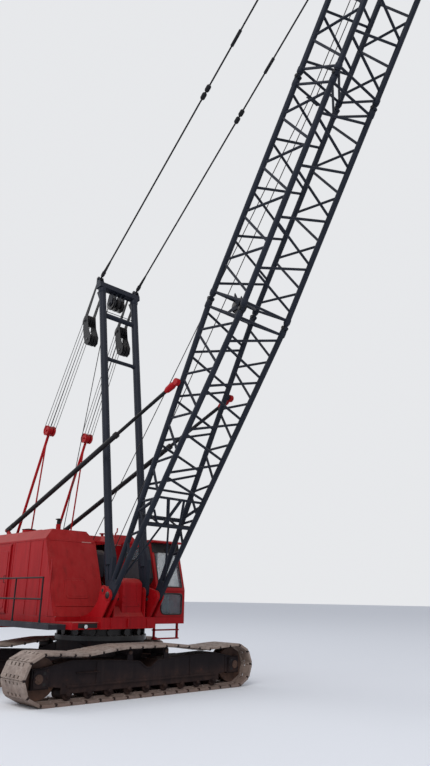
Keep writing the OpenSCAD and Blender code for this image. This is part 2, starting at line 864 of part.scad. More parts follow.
module cab_roof() {
    peak_x = screen_x(cab_wall_top) + 230;
    color(red)
        plate_y((cab_right_y + cab_left_y) / 2, cab_w + 40)
            polygon([[cab_rear_x - 30, cab_wall_top + seat_gap], [peak_x, cab_wall_top + seat_gap],
                [peak_x, cab_wall_top + 40], [peak_x - 170, cab_top_z], [cab_rear_x + 60, cab_top_z],
                [cab_rear_x - 30, cab_wall_top + 40]]);
}

hinge_x = door_x_rear - 75;
hinge_y = cab_left_y + run_gap + cab_wall / 2;
hinge_zs = [cab_z + 350, cab_wall_top - 350];
hinge_r = 18;
hinge_h = 70;

module cab_door() {
    color(red)
        for (z = hinge_zs)
            difference() {
                union() {
                    translate([hinge_x, hinge_y, z + seat_gap])
                        cylinder(h = hinge_h, r = hinge_r, $fn = 32);
                    box(hinge_x, door_x_rear - 30, hinge_y - 10, hinge_y + 10, z + seat_gap,
                        z + seat_gap + hinge_h);
                }
                translate([hinge_x, hinge_y, z - 1])
                    cylinder(h = hinge_h + 5, r = 10.3, $fn = 32);
            }
    color(red)
        difference() {
            plate_y(hinge_y, cab_wall)
                polygon([[door_x_rear - 40, cab_z + 60], [cab_front_x - 90, cab_z + 60],
                    [cab_front_x - 90, cab_sill_z], [screen_x(cab_wall_top - 50) - 90, cab_wall_top - 50],
                    [door_x_rear - 40, cab_wall_top - 50]]);
            plate_y(hinge_y, 2 * cab_wall)
                polygon(door_window);
        }
}

door_window = [[door_x_rear + 60, cab_sill_z], [screen_x(cab_sill_z) - 240, cab_sill_z],
    [screen_x(win_z1) - 240, win_z1], [door_x_rear + 60, win_z1]];

glass_t = 8;
screen_z0 = cab_sill_z + 80;
screen_z1 = cab_wall_top - 60;

module cab_glass() {
    mid_y = (cab_right_y + cab_left_y) / 2;
    color([0.5, 0.6, 0.65, 0.4]) {
        plate_y(cab_right_y + cab_wall / 2, glass_t)
            polygon(right_window);
        across(cab_front_x - 30, cab_front_x - 30 + glass_t)
            front_pane();
        plate_y(mid_y, cab_w - 200)
            polygon([[screen_x(screen_z0) - 30, screen_z0], [screen_x(screen_z0) - 30 + glass_t, screen_z0],
                [screen_x(screen_z1) - 30 + glass_t, screen_z1], [screen_x(screen_z1) - 30, screen_z1]]);
        box(cab_rear_x + 20, cab_rear_x + 20 + glass_t, mid_y - rear_win_hw, mid_y + rear_win_hw, win_z0,
            rear_win_z1);
    }
}

module door_glass() {
    color([0.5, 0.6, 0.65, 0.4])
        plate_y(hinge_y, glass_t)
            polygon(door_window);
}

floor_z = cab_z + cab_wall;

module operator_seat() {
    mid_y = (cab_right_y + cab_left_y) / 2;
    color(black) {
        box(cab_rear_x + 420, cab_rear_x + 900, mid_y - 240, mid_y + 240, floor_z + 380, floor_z + 500);
        box(cab_rear_x + 330, cab_rear_x + 450, mid_y - 230, mid_y + 230, floor_z + 440, floor_z + 1050);
        box(cab_rear_x + 520, cab_rear_x + 800, mid_y - 140, mid_y + 140, floor_z + seat_gap, floor_z + 400);
    }
}

module control_stand() {
    mid_y = (cab_right_y + cab_left_y) / 2;
    color(grey) {
        box(cab_front_x - 560, cab_front_x - 400, mid_y - 260, mid_y + 260, floor_z + seat_gap, floor_z + 560);
        for (y = [mid_y - 200 : 100 : mid_y + 200])
            bar([cab_front_x - 480, y, floor_z + 550], [cab_front_x - 540, y, floor_z + 900], 12);
    }
}

step_x = cab_front_x - 230;
step_y0 = cab_right_y + 120;
step_y1 = cab_left_y - 40;
step_low_z = bed_z - 310;

// Ladder step hung under the cab's front
module cab_step() {
    color(red) {
        for (y = [step_y0, step_y1 - 50])
            box(step_x - 30, step_x + 30, y, y + 50, step_low_z, cab_low_z - seat_gap);
        for (z = [step_low_z, step_low_z + 230])
            box(step_x - 70, step_x + 70, step_y0, step_y1, z, z + 35);
    }
}

// Back hitch: links from the rear of the bed to the lower sheave block of the boom hoist

hitch_foot_z = roof_z + 60;

hitch_head = [hitch_head_x, 0, hitch_head_z];
hitch_foot = [hitch_foot_x, 0, hitch_foot_z];
strut_foot = [-3300, 0, roof_z + seat_gap];
hitch_pin_r = 30;

module back_hitch() {
    color(red)
        for (side = SIDES)
            translate([0, side * hitch_y, 0]) {
                bar(hitch_foot, hitch_head, 45);
                bar([hitch_foot_x, 0, roof_z + seat_gap], [hitch_foot_x, 0, hitch_foot_z], 80);
                pin_y(hitch_head_x, 0, hitch_head_z, 130, 120);
                pin_y(hitch_head_x, 0, hitch_head_z, hitch_pin_r, 320);
                bar(strut_foot, strut_foot + [0, 0, 60], 60);
                bar(strut_foot + [0, 0, 40], between([hitch_foot, hitch_head], 0.9), 25);
            }
}

module hitch_sheaves() {
    color(red)
        for (side = SIDES, y = [-105, 105])
            difference() {
                sheave(hitch_head_x, side * hitch_y + y, hitch_head_z, 170, 70);
                pin_y(hitch_head_x, side * hitch_y + y, hitch_head_z, hitch_pin_r + seat_gap, 200);
            }
}

// Mast

module on_mast() {
    translate([mast_foot_x, 0, mast_foot_z])
        rotate([0, -90 - mast_lean, 0])
            children();
}

// A leg's flared foot plate: where it is widest, how far it reaches there, and where it ends in the tube
flare_s = 850;
flare_front = 250;
flare_rear = 180;
flare_end_s = 1500;

// In the mast's own frame x runs up the mast and z is its back
module mast_leg(side) {
    taper = (mast_head_hw - mast_foot_hw) / mast_len;
    color(steel_blue)
        on_mast()
            difference() {
                union() {
                    bar([700, side * (mast_foot_hw + 700 * taper), 0],
                        [mast_len - mast_d * taper, side * mast_head_hw, 0], mast_d / 2, 40);
                    plate_y(side * mast_foot_hw, mast_lug_t)
                        hull() {
                            circle(r = 120, $fn = 32);
                            translate([flare_s, -flare_front]) square([10, flare_front + flare_rear]);
                            translate([flare_end_s, -90]) square([10, 180]);
                        }
                }
                pin_y(0, side * mast_foot_hw, 0, mast_pin_r + 0.5, 2 * mast_lug_t);
            }
}

module mast_leg_right() { mast_leg(RIGHT); }
module mast_leg_left() { mast_leg(LEFT); }

bar_s = [7100, 8700];
ear_reach = 330;
ear_y = 70;
ear_pin_r = 25;

module mast_head() {
    color(steel_blue)
        on_mast() {
            for (s = bar_s) {
                w = mast_foot_hw + (mast_head_hw - mast_foot_hw) * s / mast_len - mast_d / 2 - 2 * seat_gap;
                bar([s, -w, 0], [s, w, 0], 60);
            }
            box(mast_len + seat_gap, mast_len + 180, -mast_head_hw - 160, mast_head_hw + 160, -130, 130);
            for (side = SIDES, y = [-ear_y, ear_y])
                plate_y(side * pend_y + y, 25)
                    hull() {
                        translate([mast_len + ear_reach, 0]) circle(r = 80, $fn = 32);
                        translate([mast_len + 100, -120]) square([10, 240]);
                    }
            for (side = SIDES)
                pin_y(mast_len + ear_reach, side * pend_y, 0, ear_pin_r, 2 * ear_y + 50);
        }
}

// Place of a hanging block's shaft in the mast's frame: down and back from the head
block_s = mast_len - 860;
block_z = 820;
block_r = 190;

module mast_sheaves() {
    color(black)
        on_mast()
            for (side = SIDES) {
                for (y = [-90, 0, 90])
                    sheave(block_s, side * mast_head_hw + y, block_z, block_r, 60);
                pin_y(block_s, side * mast_head_hw, block_z, 30, 330);
                for (y = [-145, 145])
                    plate_y(side * mast_head_hw + y, 20)
                        hull() {
                            translate([block_s, block_z]) circle(r = 90, $fn = 24);
                            translate([mast_len + 20, 130 + seat_gap]) square([140, 10]);
                        }
            }
}

// World place of a point of the boom or of the mast
function boom_point(s, z) = [boom_foot_x + s * cos(boom_angle) - z * sin(boom_angle), 0,
    boom_foot_z + s * sin(boom_angle) + z * cos(boom_angle)];
function mast_point(s, z) = [mast_foot_x - s * sin(mast_lean) - z * cos(mast_lean), 0,
    mast_foot_z + s * cos(mast_lean) - z * sin(mast_lean)];

pend_y = 730;
pend_boom_s = boom_len - 330;
pend_boom_z = 360;
pend_eye_t = 60;

module pendants() {
    a = mast_point(mast_len + ear_reach, 0);
    b = boom_point(pend_boom_s, pend_boom_z);
    u = (b - a) / norm(b - a);
    color(black)
        for (side = SIDES)
            translate([0, side * pend_y, 0]) {
                bar(a + u * 300, b - u * 300, 26);
                difference() {
                    union() {
                        pin_y(a[0], 0, a[2], 60, pend_eye_t);
                        bar(a, a + u * 500, 30);
                    }
                    pin_y(a[0], 0, a[2], ear_pin_r + seat_gap, 2 * pend_eye_t);
                }
                bar(a + u * 8200, a + u * 8700, 50);
                bar(b - u * 500, b, 30);
                pin_y(b[0], 0, b[2], 75, pend_eye_t);
            }
}

// Boom

module on_boom() {
    translate([boom_foot_x, 0, boom_foot_z])
        rotate([0, -boom_angle, 0])
            children();
}

chord_r = chord_d / 2;
lace_r = lace_d / 2;
hw = boom_w / 2;
hd = boom_d / 2;

// Zigzag lacing between two chords: a and b are chord lines given as [start, end]
module zigzag(a, b, n, gap = 55) {
    la = norm(a[1] - a[0]);
    e = gap / la;
    for (i = [0 : n - 1]) {
        from_a = i % 2 == 0;
        p = between(from_a ? a : b, i / n + e);
        q = between(from_a ? b : a, (i + 1) / n - e);
        bar(p, q, lace_r, 8);
    }
}

// Four chords of a section, each [start, end] in the boom's frame
function chords(s0, w0, d0, s1, w1, d1) = [
    for (c = [[-1, 1], [1, 1], [1, -1], [-1, -1]])
        [[s0, c[0] * w0, c[1] * d0], [s1, c[0] * w1, c[1] * d1]]];

function between(c, t) = c[0] + (c[1] - c[0]) * t;
function part_of(c, t0, t1) = [between(c, t0), between(c, t1)];

// Four chords and the zigzags between them, laced from share t0 to share t1 of their length
module lattice(c, n_side, n_face, t0, t1) {
    for (i = [0 : 3]) {
        chord_tube(c[i][0], c[i][1]);
        zigzag(part_of(c[i], t0, t1), part_of(c[(i + 1) % 4], t0, t1), i % 2 == 0 ? n_face : n_side);
    }
}

// Square frame across the section at s, with one diagonal
module end_frame(s, w, d) {
    for (z = [-d, d])
        bar([s, -w, z], [s, w, z], lace_r, 8);
    for (y = [-w, w])
        bar([s, y, -d], [s, y, d], lace_r, 8);
    bar([s, -w, -d], [s, w, d], lace_r, 8);
}

// Distance of a chord tube's end from the joint's pin, and of the end frame from it
join_end = 75;
frame_in = 200;
// Length at each end of a section that the end frame and the joints keep free of lacing
lace_clear = 300;
join_pin_r = 22;

// The four joints at place s: forks with pins on the lower section
module join_forks(s) {
    for (y = [-hw, hw], z = [-hd, hd]) {
        for (dy = [-50, 50])
            plate_y(y + dy, 28)
                union() {
                    translate([s, z]) circle(r = 55, $fn = 32);
                    translate([s - 150, z - 55]) square([150, 110]);
                }
        pin_y(s, y, z, join_pin_r, 150);
    }
}

// The eyes of the upper section that sit in those forks
module join_eyes(s) {
    for (y = [-hw, hw], z = [-hd, hd])
        difference() {
            plate_y(y, 60)
                union() {
                    translate([s, z]) circle(r = 52, $fn = 32);
                    translate([s, z - 52]) square([150, 104]);
                }
            pin_y(s, y, z, join_pin_r + seat_gap, 100);
        }
}

module insert_section(s0) {
    color(steel_blue)
        on_boom() {
            lattice(chords(s0 + join_end, hw, hd, s0 + insert_len - join_end, hw, hd), 8, 8,
                lace_clear / insert_len, 1 - lace_clear / insert_len);
            end_frame(s0 + frame_in, hw, hd);
            end_frame(s0 + insert_len - frame_in, hw, hd);
            join_eyes(s0);
            join_forks(s0 + insert_len);
        }
}

module boom_insert_lower() { insert_section(butt_len); }
module boom_insert_upper() { insert_section(butt_len + insert_len); }

butt_foot_s = 380;
butt_foot_d = 95;

module boom_butt() {
    c = chords(butt_foot_s, boom_foot_hw, butt_foot_d, butt_len - join_end, hw, hd);
    function along(i, s) = between(c[i % 4], (s - butt_foot_s) / (butt_len - join_end - butt_foot_s));
    function stretch(i, from, to) = [along(i, from), along(i, to)];
    side_lace_s = 1100;
    cross_s = 2200;
    lace_s = 3000;
    lace_end = butt_len - lace_clear;
    color(steel_blue)
        on_boom() {
            difference() {
                union() {
                    for (i = [0 : 3])
                        chord_tube(c[i][0], c[i][1]);
                    for (side = SIDES)
                        plate_y(side * boom_foot_hw, lug_t)
                            hull() {
                                circle(r = boom_lug_r - 20, $fn = 32);
                                translate([butt_foot_s + 60, -170]) square([10, 340]);
                            }
                }
                for (side = SIDES)
                    pin_y(0, side * boom_foot_hw, 0, boom_pin_r + 0.5, 2 * lug_t);
            }
            for (i = [0 : 3])
                zigzag(stretch(i, lace_s, lace_end), stretch(i + 1, lace_s, lace_end), 8);
            for (i = [1, 3])
                zigzag(stretch(i, side_lace_s, lace_s), stretch(i + 1, side_lace_s, lace_s), 4);
            for (i = [0, 2]) {
                bar(along(i, cross_s), along(i + 1, cross_s), 60, 8);
                bar(along(i, lace_s - 20), along(i + 1, lace_s - 20), lace_r, 8);
            }
            end_frame(butt_len - frame_in, hw, hd);
            join_forks(butt_len);
            for (side = SIDES)
                bar([stop_boom_s, side * boom_foot_hw, stop_chord_z],
                    [stop_boom_s, side * (stop_y - stop_eye_t / 2 - seat_gap), stop_chord_z], 62, 8);
        }
}

tip_hw = 420;
tip_plate = 50;
point_pin_r = 55;
tip_d = 260;
tip_s = boom_len - 700;
straight_len = 3000;

module boom_top() {
    s0 = boom_len - top_len;
    s1 = s0 + straight_len;
    color(steel_blue)
        on_boom() {
            lattice(chords(s0 + join_end, hw, hd, s1 - 20, hw, hd), 4, 4, lace_clear / straight_len,
                1 - lace_clear / straight_len);
            lattice(chords(s1 + 20, hw, hd, tip_s, tip_hw, tip_d), 6, 6, 0.06, 0.94);
            for (y = [-hw, hw], z = [-hd, hd])
                bar([s1 - 60, y, z], [s1 + 60, y, z], chord_r + 12, 32);
            join_eyes(s0);
            end_frame(s0 + frame_in, hw, hd);
            end_frame(s1 - frame_in, hw, hd);
            difference() {
                box(tip_s - 20, tip_s + 20, -tip_hw - 90, tip_hw + 90, -tip_d - 90, tip_d + 90);
                box(tip_s - 30, tip_s + 30, -tip_hw + 110, tip_hw - 110, -tip_d + 110, tip_d - 110);
            }
            for (side = SIDES)
                plate_y(side * tip_hw, tip_plate)
                    hull() {
                        translate([boom_len, 0]) circle(r = 190, $fn = 32);
                        translate([pend_boom_s, pend_boom_z]) circle(r = 90, $fn = 32);
                        translate([tip_s + 5, -tip_d - 80]) square([10, 2 * tip_d + 160]);
                    }
            pin_y(boom_len, 0, 0, point_pin_r, 2 * (tip_hw + tip_plate / 2 + 70));
            pin_y(pend_boom_s, 0, pend_boom_z, point_pin_r, 2 * (pend_y - pend_eye_t / 2 - seat_gap));
        }
}

module point_sheaves() {
    color(black)
        on_boom()
            for (y = [-240, -80, 80, 240])
                difference() {
                    sheave(boom_len, y, 0, 380, 90);
                    pin_y(boom_len, y, 0, point_pin_r + seat_gap, 300);
                }
}

// Backstops: a tube hinged on the house's rear and a rod that slides in it, up to the boom's upper chord

stop_chord_z = butt_foot_d + (hd - butt_foot_d) * (stop_boom_s - butt_foot_s) / (butt_len - butt_foot_s);
stop_eye = boom_point(stop_boom_s, stop_chord_z);
stop_foot = [stop_foot_x, 0, stop_foot_z];
stop_dist = norm(stop_eye - stop_foot);
stop_slope = atan2(stop_eye[2] - stop_foot_z, stop_eye[0] - stop_foot_x);
stop_tube_len = 6450;
stop_eye_t = 110;
stop_rod_r = 50;
stop_rod_in = 2000;
fork_len = 380;

module on_stop(side) {
    translate([stop_foot_x, side * stop_y, stop_foot_z])
        rotate([0, -stop_slope, 0])
            children();
}

// Tube with a fork at its foot and a guide ring in its mouth
module stop_tube(side) {
    color(black)
        on_stop(side)
            difference() {
                union() {
                    rotate([0, 90, 0])
                        translate([0, 0, fork_len])
                            cylinder(h = stop_tube_len - fork_len, r = stop_d / 2, $fn = 40);
                    for (y = [-1, 1])
                        plate_y(y * (stop_plate_t + stop_ear_t + 2 * run_gap) / 2, stop_ear_t)
                            hull() {
                                circle(r = 55, $fn = 32);
                                translate([fork_len + 40, -50]) square([10, 100]);
                            }
                }
                rotate([0, 90, 0])
                    translate([0, 0, fork_len + 100])
                        cylinder(h = stop_tube_len - fork_len - 300, r = stop_rod_r + 10, $fn = 40);
                rotate([0, 90, 0])
                    translate([0, 0, stop_tube_len - 300])
                        cylinder(h = 400, r = stop_rod_r + seat_gap, $fn = 40);
                pin_y(0, 0, 0, stop_pin_r + 0.5, 300);
            }
}

// Rod with a round eye beside the boom's chord
module stop_rod(side) {
    color(black)
        on_stop(side) {
            rotate([0, 90, 0])
                translate([0, 0, stop_rod_in])
                    cylinder(h = stop_dist - stop_rod_in, r = stop_rod_r, $fn = 40);
            pin_y(stop_dist, 0, 0, 90, stop_eye_t);
        }
}

module stop_tube_right() { stop_tube(RIGHT); }
module stop_rod_right() { stop_rod(RIGHT); }
module stop_tube_left() { stop_tube(LEFT); }
module stop_rod_left() { stop_rod(LEFT); }

track_front();
track_rear();
side_frames();
drive_tumblers();
idlers();
bottom_rollers();
carrier_rollers();
carbody();
roller_path();
swing_rollers();
rotating_bed();
hinge_brackets();
counterweight();
engine();
front_drum();
rear_drum();
house_right();
house_front();
house_left();
house_rear();
house_roof();
side_door_right();
side_door_left();
roof_fittings();
front_cover();
walkways();
handrails();
cab_shell();
cab_roof();
cab_door();
cab_glass();
door_glass();
operator_seat();
control_stand();
cab_step();
back_hitch();
hitch_sheaves();
mast_leg_right();
mast_leg_left();
mast_head();
mast_sheaves();
pendants();
boom_butt();
boom_insert_lower();
boom_insert_upper();
boom_top();
point_sheaves();
stop_tube_right();
stop_rod_right();
stop_tube_left();
stop_rod_left();
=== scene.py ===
"""Looks of a crawler crane with a lattice boom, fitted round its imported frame. Metres, in the frame's own axes."""
import math

import bmesh
import bpy
from bpy.props import FloatProperty, FloatVectorProperty, PointerProperty
from mathutils import Matrix, Vector


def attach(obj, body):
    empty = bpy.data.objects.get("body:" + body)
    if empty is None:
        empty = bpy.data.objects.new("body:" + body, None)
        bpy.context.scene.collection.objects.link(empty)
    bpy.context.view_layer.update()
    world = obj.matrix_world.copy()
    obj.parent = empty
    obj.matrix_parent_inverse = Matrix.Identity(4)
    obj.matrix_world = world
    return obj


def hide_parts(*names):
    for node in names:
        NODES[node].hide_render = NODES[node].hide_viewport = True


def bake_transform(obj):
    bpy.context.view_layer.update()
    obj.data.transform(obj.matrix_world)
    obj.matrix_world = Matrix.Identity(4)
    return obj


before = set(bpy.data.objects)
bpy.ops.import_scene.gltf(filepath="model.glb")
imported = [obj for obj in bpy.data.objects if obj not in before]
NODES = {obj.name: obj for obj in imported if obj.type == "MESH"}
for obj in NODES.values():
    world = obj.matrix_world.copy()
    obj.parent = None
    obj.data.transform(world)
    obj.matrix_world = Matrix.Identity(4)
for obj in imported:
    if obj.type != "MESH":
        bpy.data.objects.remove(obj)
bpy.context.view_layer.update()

bl_info = {
    "name": "Crawler crane dressing",
    "version": (1, 0, 0),
    "blender": (4, 5, 0),
    "location": "View3D > Sidebar > Crane",
    "description": "Adds the finishes, ropes, shoes and fittings of a lattice boom crawler crane",
    "category": "Object",
}

RIGHT, LEFT = -1, 1
SIDES = (RIGHT, LEFT)
NAMED_SIDES = ((RIGHT, "right"), (LEFT, "left"))


def tilted(origin, degrees):
    """Frame at origin whose x axis rises at that angle in the X-Z plane and whose z axis is its back."""
    x, y, z = origin
    c, s = math.cos(math.radians(degrees)), math.sin(math.radians(degrees))
    return Matrix(((c, 0, -s, x), (0, 1, 0, y), (s, 0, c, z), (0, 0, 0, 1)))


# Places that repeat the source's sizes, in metres
WORLD = Matrix.Identity(4)
BOOM_FOOT, MAST_FOOT, STOP_FOOT = (1.5, 0, 2.38), (1.165, 0, 2.48), (-4.45, 0.985, 4.4)
BOOM, MAST, STOP_SLOPE = tilted(BOOM_FOOT, 59), tilted(MAST_FOOT, 98.8), 20.8184
BUTT, INSERT, TOP = 8.2, 6.0, 8.0
BOOM_LEN = BUTT + 2 * INSERT + TOP
CHORD_Y, CHORD_Z = 0.815, 0.65
MAST_LEN, MAST_HEAD_Y, MAST_FOOT_Y = 9.7, 0.65, 0.59
PENDANT_S, PENDANT_Y = 0.33, 0.73
HITCH_X, HITCH_Y, HITCH_Z = -2.74, 0.73, 7.59
BLOCK_S, BLOCK_Z = MAST_LEN - 0.86, 0.82
LOW_SHEAVE_S, LOW_SHEAVE_Z = 8.06, 0.7
HEAD_SHEAVE_S, HEAD_SHEAVE_Z = MAST_LEN - 0.36, 0.14
STOP_TUBE, STOP_ROD_END, STOP_LEN = 6.32, 8.7, 9.1508
TRACK_X, AXLE_Y, AXLE_Z, WRAP_R = 1.93, 3.05, 0.57, 0.54
SHOE_W, SHOE_T, SHOE_PITCH = 1.06, 0.06, 0.39
HUMP_Y, HUMP_Z, SAG_Y, SAG_Z = 0.858, 1.165, 1.954, 1.035
FRAME_HW, BEARING_CAP, CARRIER_Y, CARRIER_Z = 0.28, 0.04, 0.585, 1.0227
ROLLER_Z, ROLLER_R, ROLLER_YS = 0.1973, 0.134, [(k / 8 - 0.5) * 4.6 for k in range(9)]
BEAM_X, BEAM_Y = 1.648, 1.05
DRUM_Z, DRUM_HW = 2.38, 0.39
HOUSE_Y, HOUSE_REAR, ROOF_Z, EAVES_Z, BED_Z, BED_TOP = 1.7, -4.28, 4.19, 3.88, 1.53, 1.82
LEFT_FRONT_X, COVER_X, WEIGHT_REAR = -0.61, 1.2, -5.0
LEDGE_X, LEDGE_Z, NOSE_X = 1.18, 1.7, 1.3
WALK_Z, WALK_REAR, WALK_W, POST_Y = 1.65, -4.18, 0.5, 2.16
CHEEK_Y, PIN_X, PIN_Z = 0.895, 1.265, 2.5
RAKE, RAKE_X = 0.94 / 2.37, 0.25
CAB_Y0, CAB_Y1, CAB_FRONT, CAB_REAR, CAB_SILL, CAB_WALL_TOP = 0.95, 2.01, 1.24, -0.55, 2.56, 3.88


def front_x(z):
    """Place of the raked right front wall at height z."""
    return RAKE_X - RAKE * (z - BED_TOP)


def screen_x(z):
    """Place of the raked windscreen at height z."""
    return CAB_FRONT - 0.38 * (z - CAB_SILL) / (CAB_WALL_TOP - CAB_SILL)


def paint(r, g, b):
    """Linear colour from the way a screen shows it, 0 to 255."""
    return tuple((c / 255 / 12.92) if c <= 10 else ((c / 255 + 0.055) / 1.055) ** 2.4 for c in (r, g, b))


# ---- Node trees ----

class Wire:
    """One output of a node tree; arithmetic on it adds Math nodes."""

    def __init__(self, tree, socket):
        self.tree, self.socket = tree, socket

    def __add__(self, other):
        return self.tree.math("ADD", self, other)

    def __mul__(self, other):
        return self.tree.math("MULTIPLY", self, other)

    def __rsub__(self, other):
        return self.tree.math("SUBTRACT", other, self)

    def __truediv__(self, other):
        return self.tree.math("DIVIDE", self, other)

    def most(self, other):
        return self.tree.math("MAXIMUM", self, other)

    def clamp(self):
        return self.tree.node("ShaderNodeClamp", {"Value": self})


class Tree:
    """Adds nodes to a shader or geometry node tree."""

    def __init__(self, tree):
        self.tree = tree

    def node(self, kind, sockets=None, out=0, **settings):
        n = self.tree.nodes.new(kind)
        for key, value in settings.items():
            setattr(n, key, value)
        for key, value in (sockets or {}).items():
            if isinstance(value, Wire):
                self.tree.links.new(value.socket, n.inputs[key])
            else:
                n.inputs[key].default_value = value
        return Wire(self, n.outputs[out]) if len(n.outputs) else None

    def math(self, operation, a, b):
        return self.node("ShaderNodeMath", {0: a, 1: b}, operation=operation)


class Shade(Tree):
    """One material with its patterns on Object coordinates."""

    def __init__(self, name):
        self.material = bpy.data.materials.new(name)
        self.material.use_nodes = True
        super().__init__(self.material.node_tree)
        self.tree.nodes.clear()
        self.place = self.node("ShaderNodeTexCoord", None, "Object")

    def stretched(self, scale):
        return self.node("ShaderNodeMapping", {"Vector": self.place, "Scale": scale})

    def noise(self, scale, detail=4.0, vector=None, rough=0.55):
        return self.node("ShaderNodeTexNoise", {"Vector": vector or self.place, "Scale": scale, "Detail": detail,
                                                "Roughness": rough})

    def ramp(self, value, low, high):
        """0 up to low, 1 from high up."""
        ramp = self.node("ShaderNodeValToRGB", {"Fac": value})
        black, white = ramp.socket.node.color_ramp.elements
        black.position, white.position = low, high
        return ramp

    def mix(self, mask, a, b):
        def colour(c):
            return c if isinstance(c, Wire) else (*c[:3], 1)
        return self.node("ShaderNodeMix", {0: mask, 6: colour(a), 7: colour(b)}, 2, data_type="RGBA")

    def part(self, vector, axis):
        return self.node("ShaderNodeSeparateXYZ", {0: vector}, axis)

    def low(self, top):
        """1 on the ground, 0 from that height up."""
        return (1 - self.part(self.place, "Z") / top).clamp()

    def normal(self):
        return self.node("ShaderNodeNewGeometry", None, "Normal")

    def upward(self):
        return self.part(self.normal(), "Z").clamp()

    def edge(self, radius):
        """1 on edges and 0 on flats, and the normal that rounds the edges."""
        rounded_normal = self.node("ShaderNodeBevel", {"Radius": radius}, samples=4)
        flat = self.node("ShaderNodeVectorMath", {0: rounded_normal, 1: self.normal()}, "Value",
                         operation="DOT_PRODUCT")
        return ((1 - flat) * 6).clamp(), rounded_normal

    def surface(self, sockets):
        shader = self.node("ShaderNodeBsdfPrincipled", sockets)
        self.node("ShaderNodeOutputMaterial", {"Surface": shader})
        return self.material

    def finish(self, colour, rough, metal=0.0, bump=None, strength=0.2, normal=None, extra=None):
        sockets = {"Base Color": colour if isinstance(colour, Wire) else (*colour, 1), "Roughness": rough,
                   "Metallic": metal, **(extra or {})}
        if bump is not None:
            inputs = {"Height": bump, "Strength": strength, "Distance": 0.01}
            if normal is not None:
                inputs["Normal"] = normal
            sockets["Normal"] = self.node("ShaderNodeBump", inputs)
        return self.surface(sockets)


DUST, MUD, RUST = paint(150, 128, 112), paint(118, 84, 66), paint(104, 60, 42)
DULL_PAINT = {"Specular IOR Level": 0.12}


def painted(name, base, faded, rough=0.45, streak=0.35, dust=0.3, rust=0.25, mud=0.0, mud_top=1.2, worn=RUST):
    """Weathered paint: fading, rain streaks, dust on what faces up, chips and worn edges."""
    s = Shade(name)
    broad = s.noise(0.8, 3.0)
    patchy = s.noise(3.6, 6.0, rough=0.62)
    fine = s.noise(46.0, 6.0, rough=0.6)
    rain = s.noise(1.0, 5.0, s.stretched((7.0, 7.0, 0.5)), 0.6)
    colour = s.mix(s.ramp(broad * 0.6 + patchy * 0.4, 0.38, 0.66), base, faded)
    colour = s.mix(s.ramp(rain, 0.5, 0.72) * streak, colour, tuple(c * 0.35 for c in base))
    colour = s.mix(s.ramp(rain, 0.3, 0.46) * (-0.07 * streak) + 0.07 * streak, colour, DUST)
    wear, rounded_normal = s.edge(0.012)
    chips = s.ramp(patchy * 0.55 + fine * 0.45, 0.6, 0.64) * rust
    colour = s.mix(chips, colour, RUST)
    colour = s.mix(wear * s.ramp(fine * 0.5 + patchy * 0.5, 0.44, 0.6) * 0.7, colour, worn)
    grit = s.upward() * (patchy * 0.9 + 0.25) * dust
    if mud:
        low = s.low(mud_top)
        grit = grit.most(low * s.ramp(patchy, 0.3, 0.62) * mud).most(low * 0.25 * mud)
    colour = s.mix(grit.clamp(), colour, MUD if mud else DUST)
    roughness = (fine * 0.16 + (rough - 0.08) + grit * 0.35 + chips * 0.3).clamp()
    height = fine * 0.12 + broad * 0.25 + patchy * 0.1 + chips * -0.3
    return s.finish(colour, roughness, 0.0, height, 0.22, rounded_normal, DULL_PAINT)


def bare(name, base, stain, rough=0.5, metal=0.6, scale=1.0):
    """Bare or greasy steel with stains."""
    s = Shade(name)
    broad, fine = s.noise(2.2 * scale, 5.0), s.noise(60 * scale, 4.0)
    colour = s.mix(s.ramp(broad, 0.4, 0.62) * 0.6, base, stain)
    colour = s.mix(s.upward() * s.ramp(broad, 0.42, 0.6) * 0.35, colour, DUST)
    return s.finish(colour, (fine * 0.3 + (rough - 0.15)).clamp(), metal, fine * 0.3 + broad * 0.3, 0.2)


def shoe_steel(name):
    """Track shoes: dry dust packed on worn cast steel, with polished bright rubs and rusty hollows."""
    s = Shade(name)
    broad, patchy, fine = s.noise(0.9, 4.0), s.noise(5.5, 7.0, rough=0.65), s.noise(90.0, 4.0)
    scratch = s.noise(1.0, 4.0, s.stretched((3.0, 60.0, 60.0)))
    colour = s.mix(s.ramp(patchy, 0.34, 0.64), paint(110, 94, 86), paint(156, 141, 131))
    colour = s.mix(s.ramp(broad, 0.42, 0.62) * 0.4, colour, paint(140, 118, 102))
    colour = s.mix(s.low(0.5) * s.ramp(patchy, 0.25, 0.6) * 0.7, colour, paint(92, 62, 52))
    wear, rounded_normal = s.edge(0.015)
    colour = s.mix(wear * s.ramp(fine, 0.4, 0.6) * 0.75, colour, paint(168, 156, 148))
    colour = s.mix(s.ramp(scratch, 0.58, 0.7) * 0.4, colour, paint(66, 50, 44))
    return s.finish(colour, (fine * 0.25 + 0.62).clamp(), 0.1, patchy * 0.5 + fine * 0.25, 0.35, rounded_normal)


def rope_wire(name):
    """Wire rope: strands twisted along the piece's UV, greased and dusty."""
    s = Shade(name)
    uv = s.node("ShaderNodeUVMap", uv_map="UVMap")
    lay = s.node("ShaderNodeTexWave", {"Vector": uv, "Scale": 6.0, "Distortion": 0.4}, bands_direction="DIAGONAL")
    patchy = s.noise(6.0, 4.0)
    colour = s.mix(lay, paint(22, 22, 24), paint(62, 61, 62))
    colour = s.mix(s.ramp(patchy, 0.5, 0.66) * 0.4, colour, paint(84, 66, 54))
    return s.finish(colour, patchy * 0.2 + 0.45, 0.35, lay, 0.5)


def clear(name, tint):
    """Window glass with a little dust on it."""
    s = Shade(name)
    dusty = s.ramp(s.noise(4.0, 5.0), 0.45, 0.75) * 0.35
    return s.surface({"Base Color": (*tint, 1), "Roughness": dusty * 0.5 + 0.05, "IOR": 1.45,
                      "Alpha": dusty * 0.4 + 0.28})


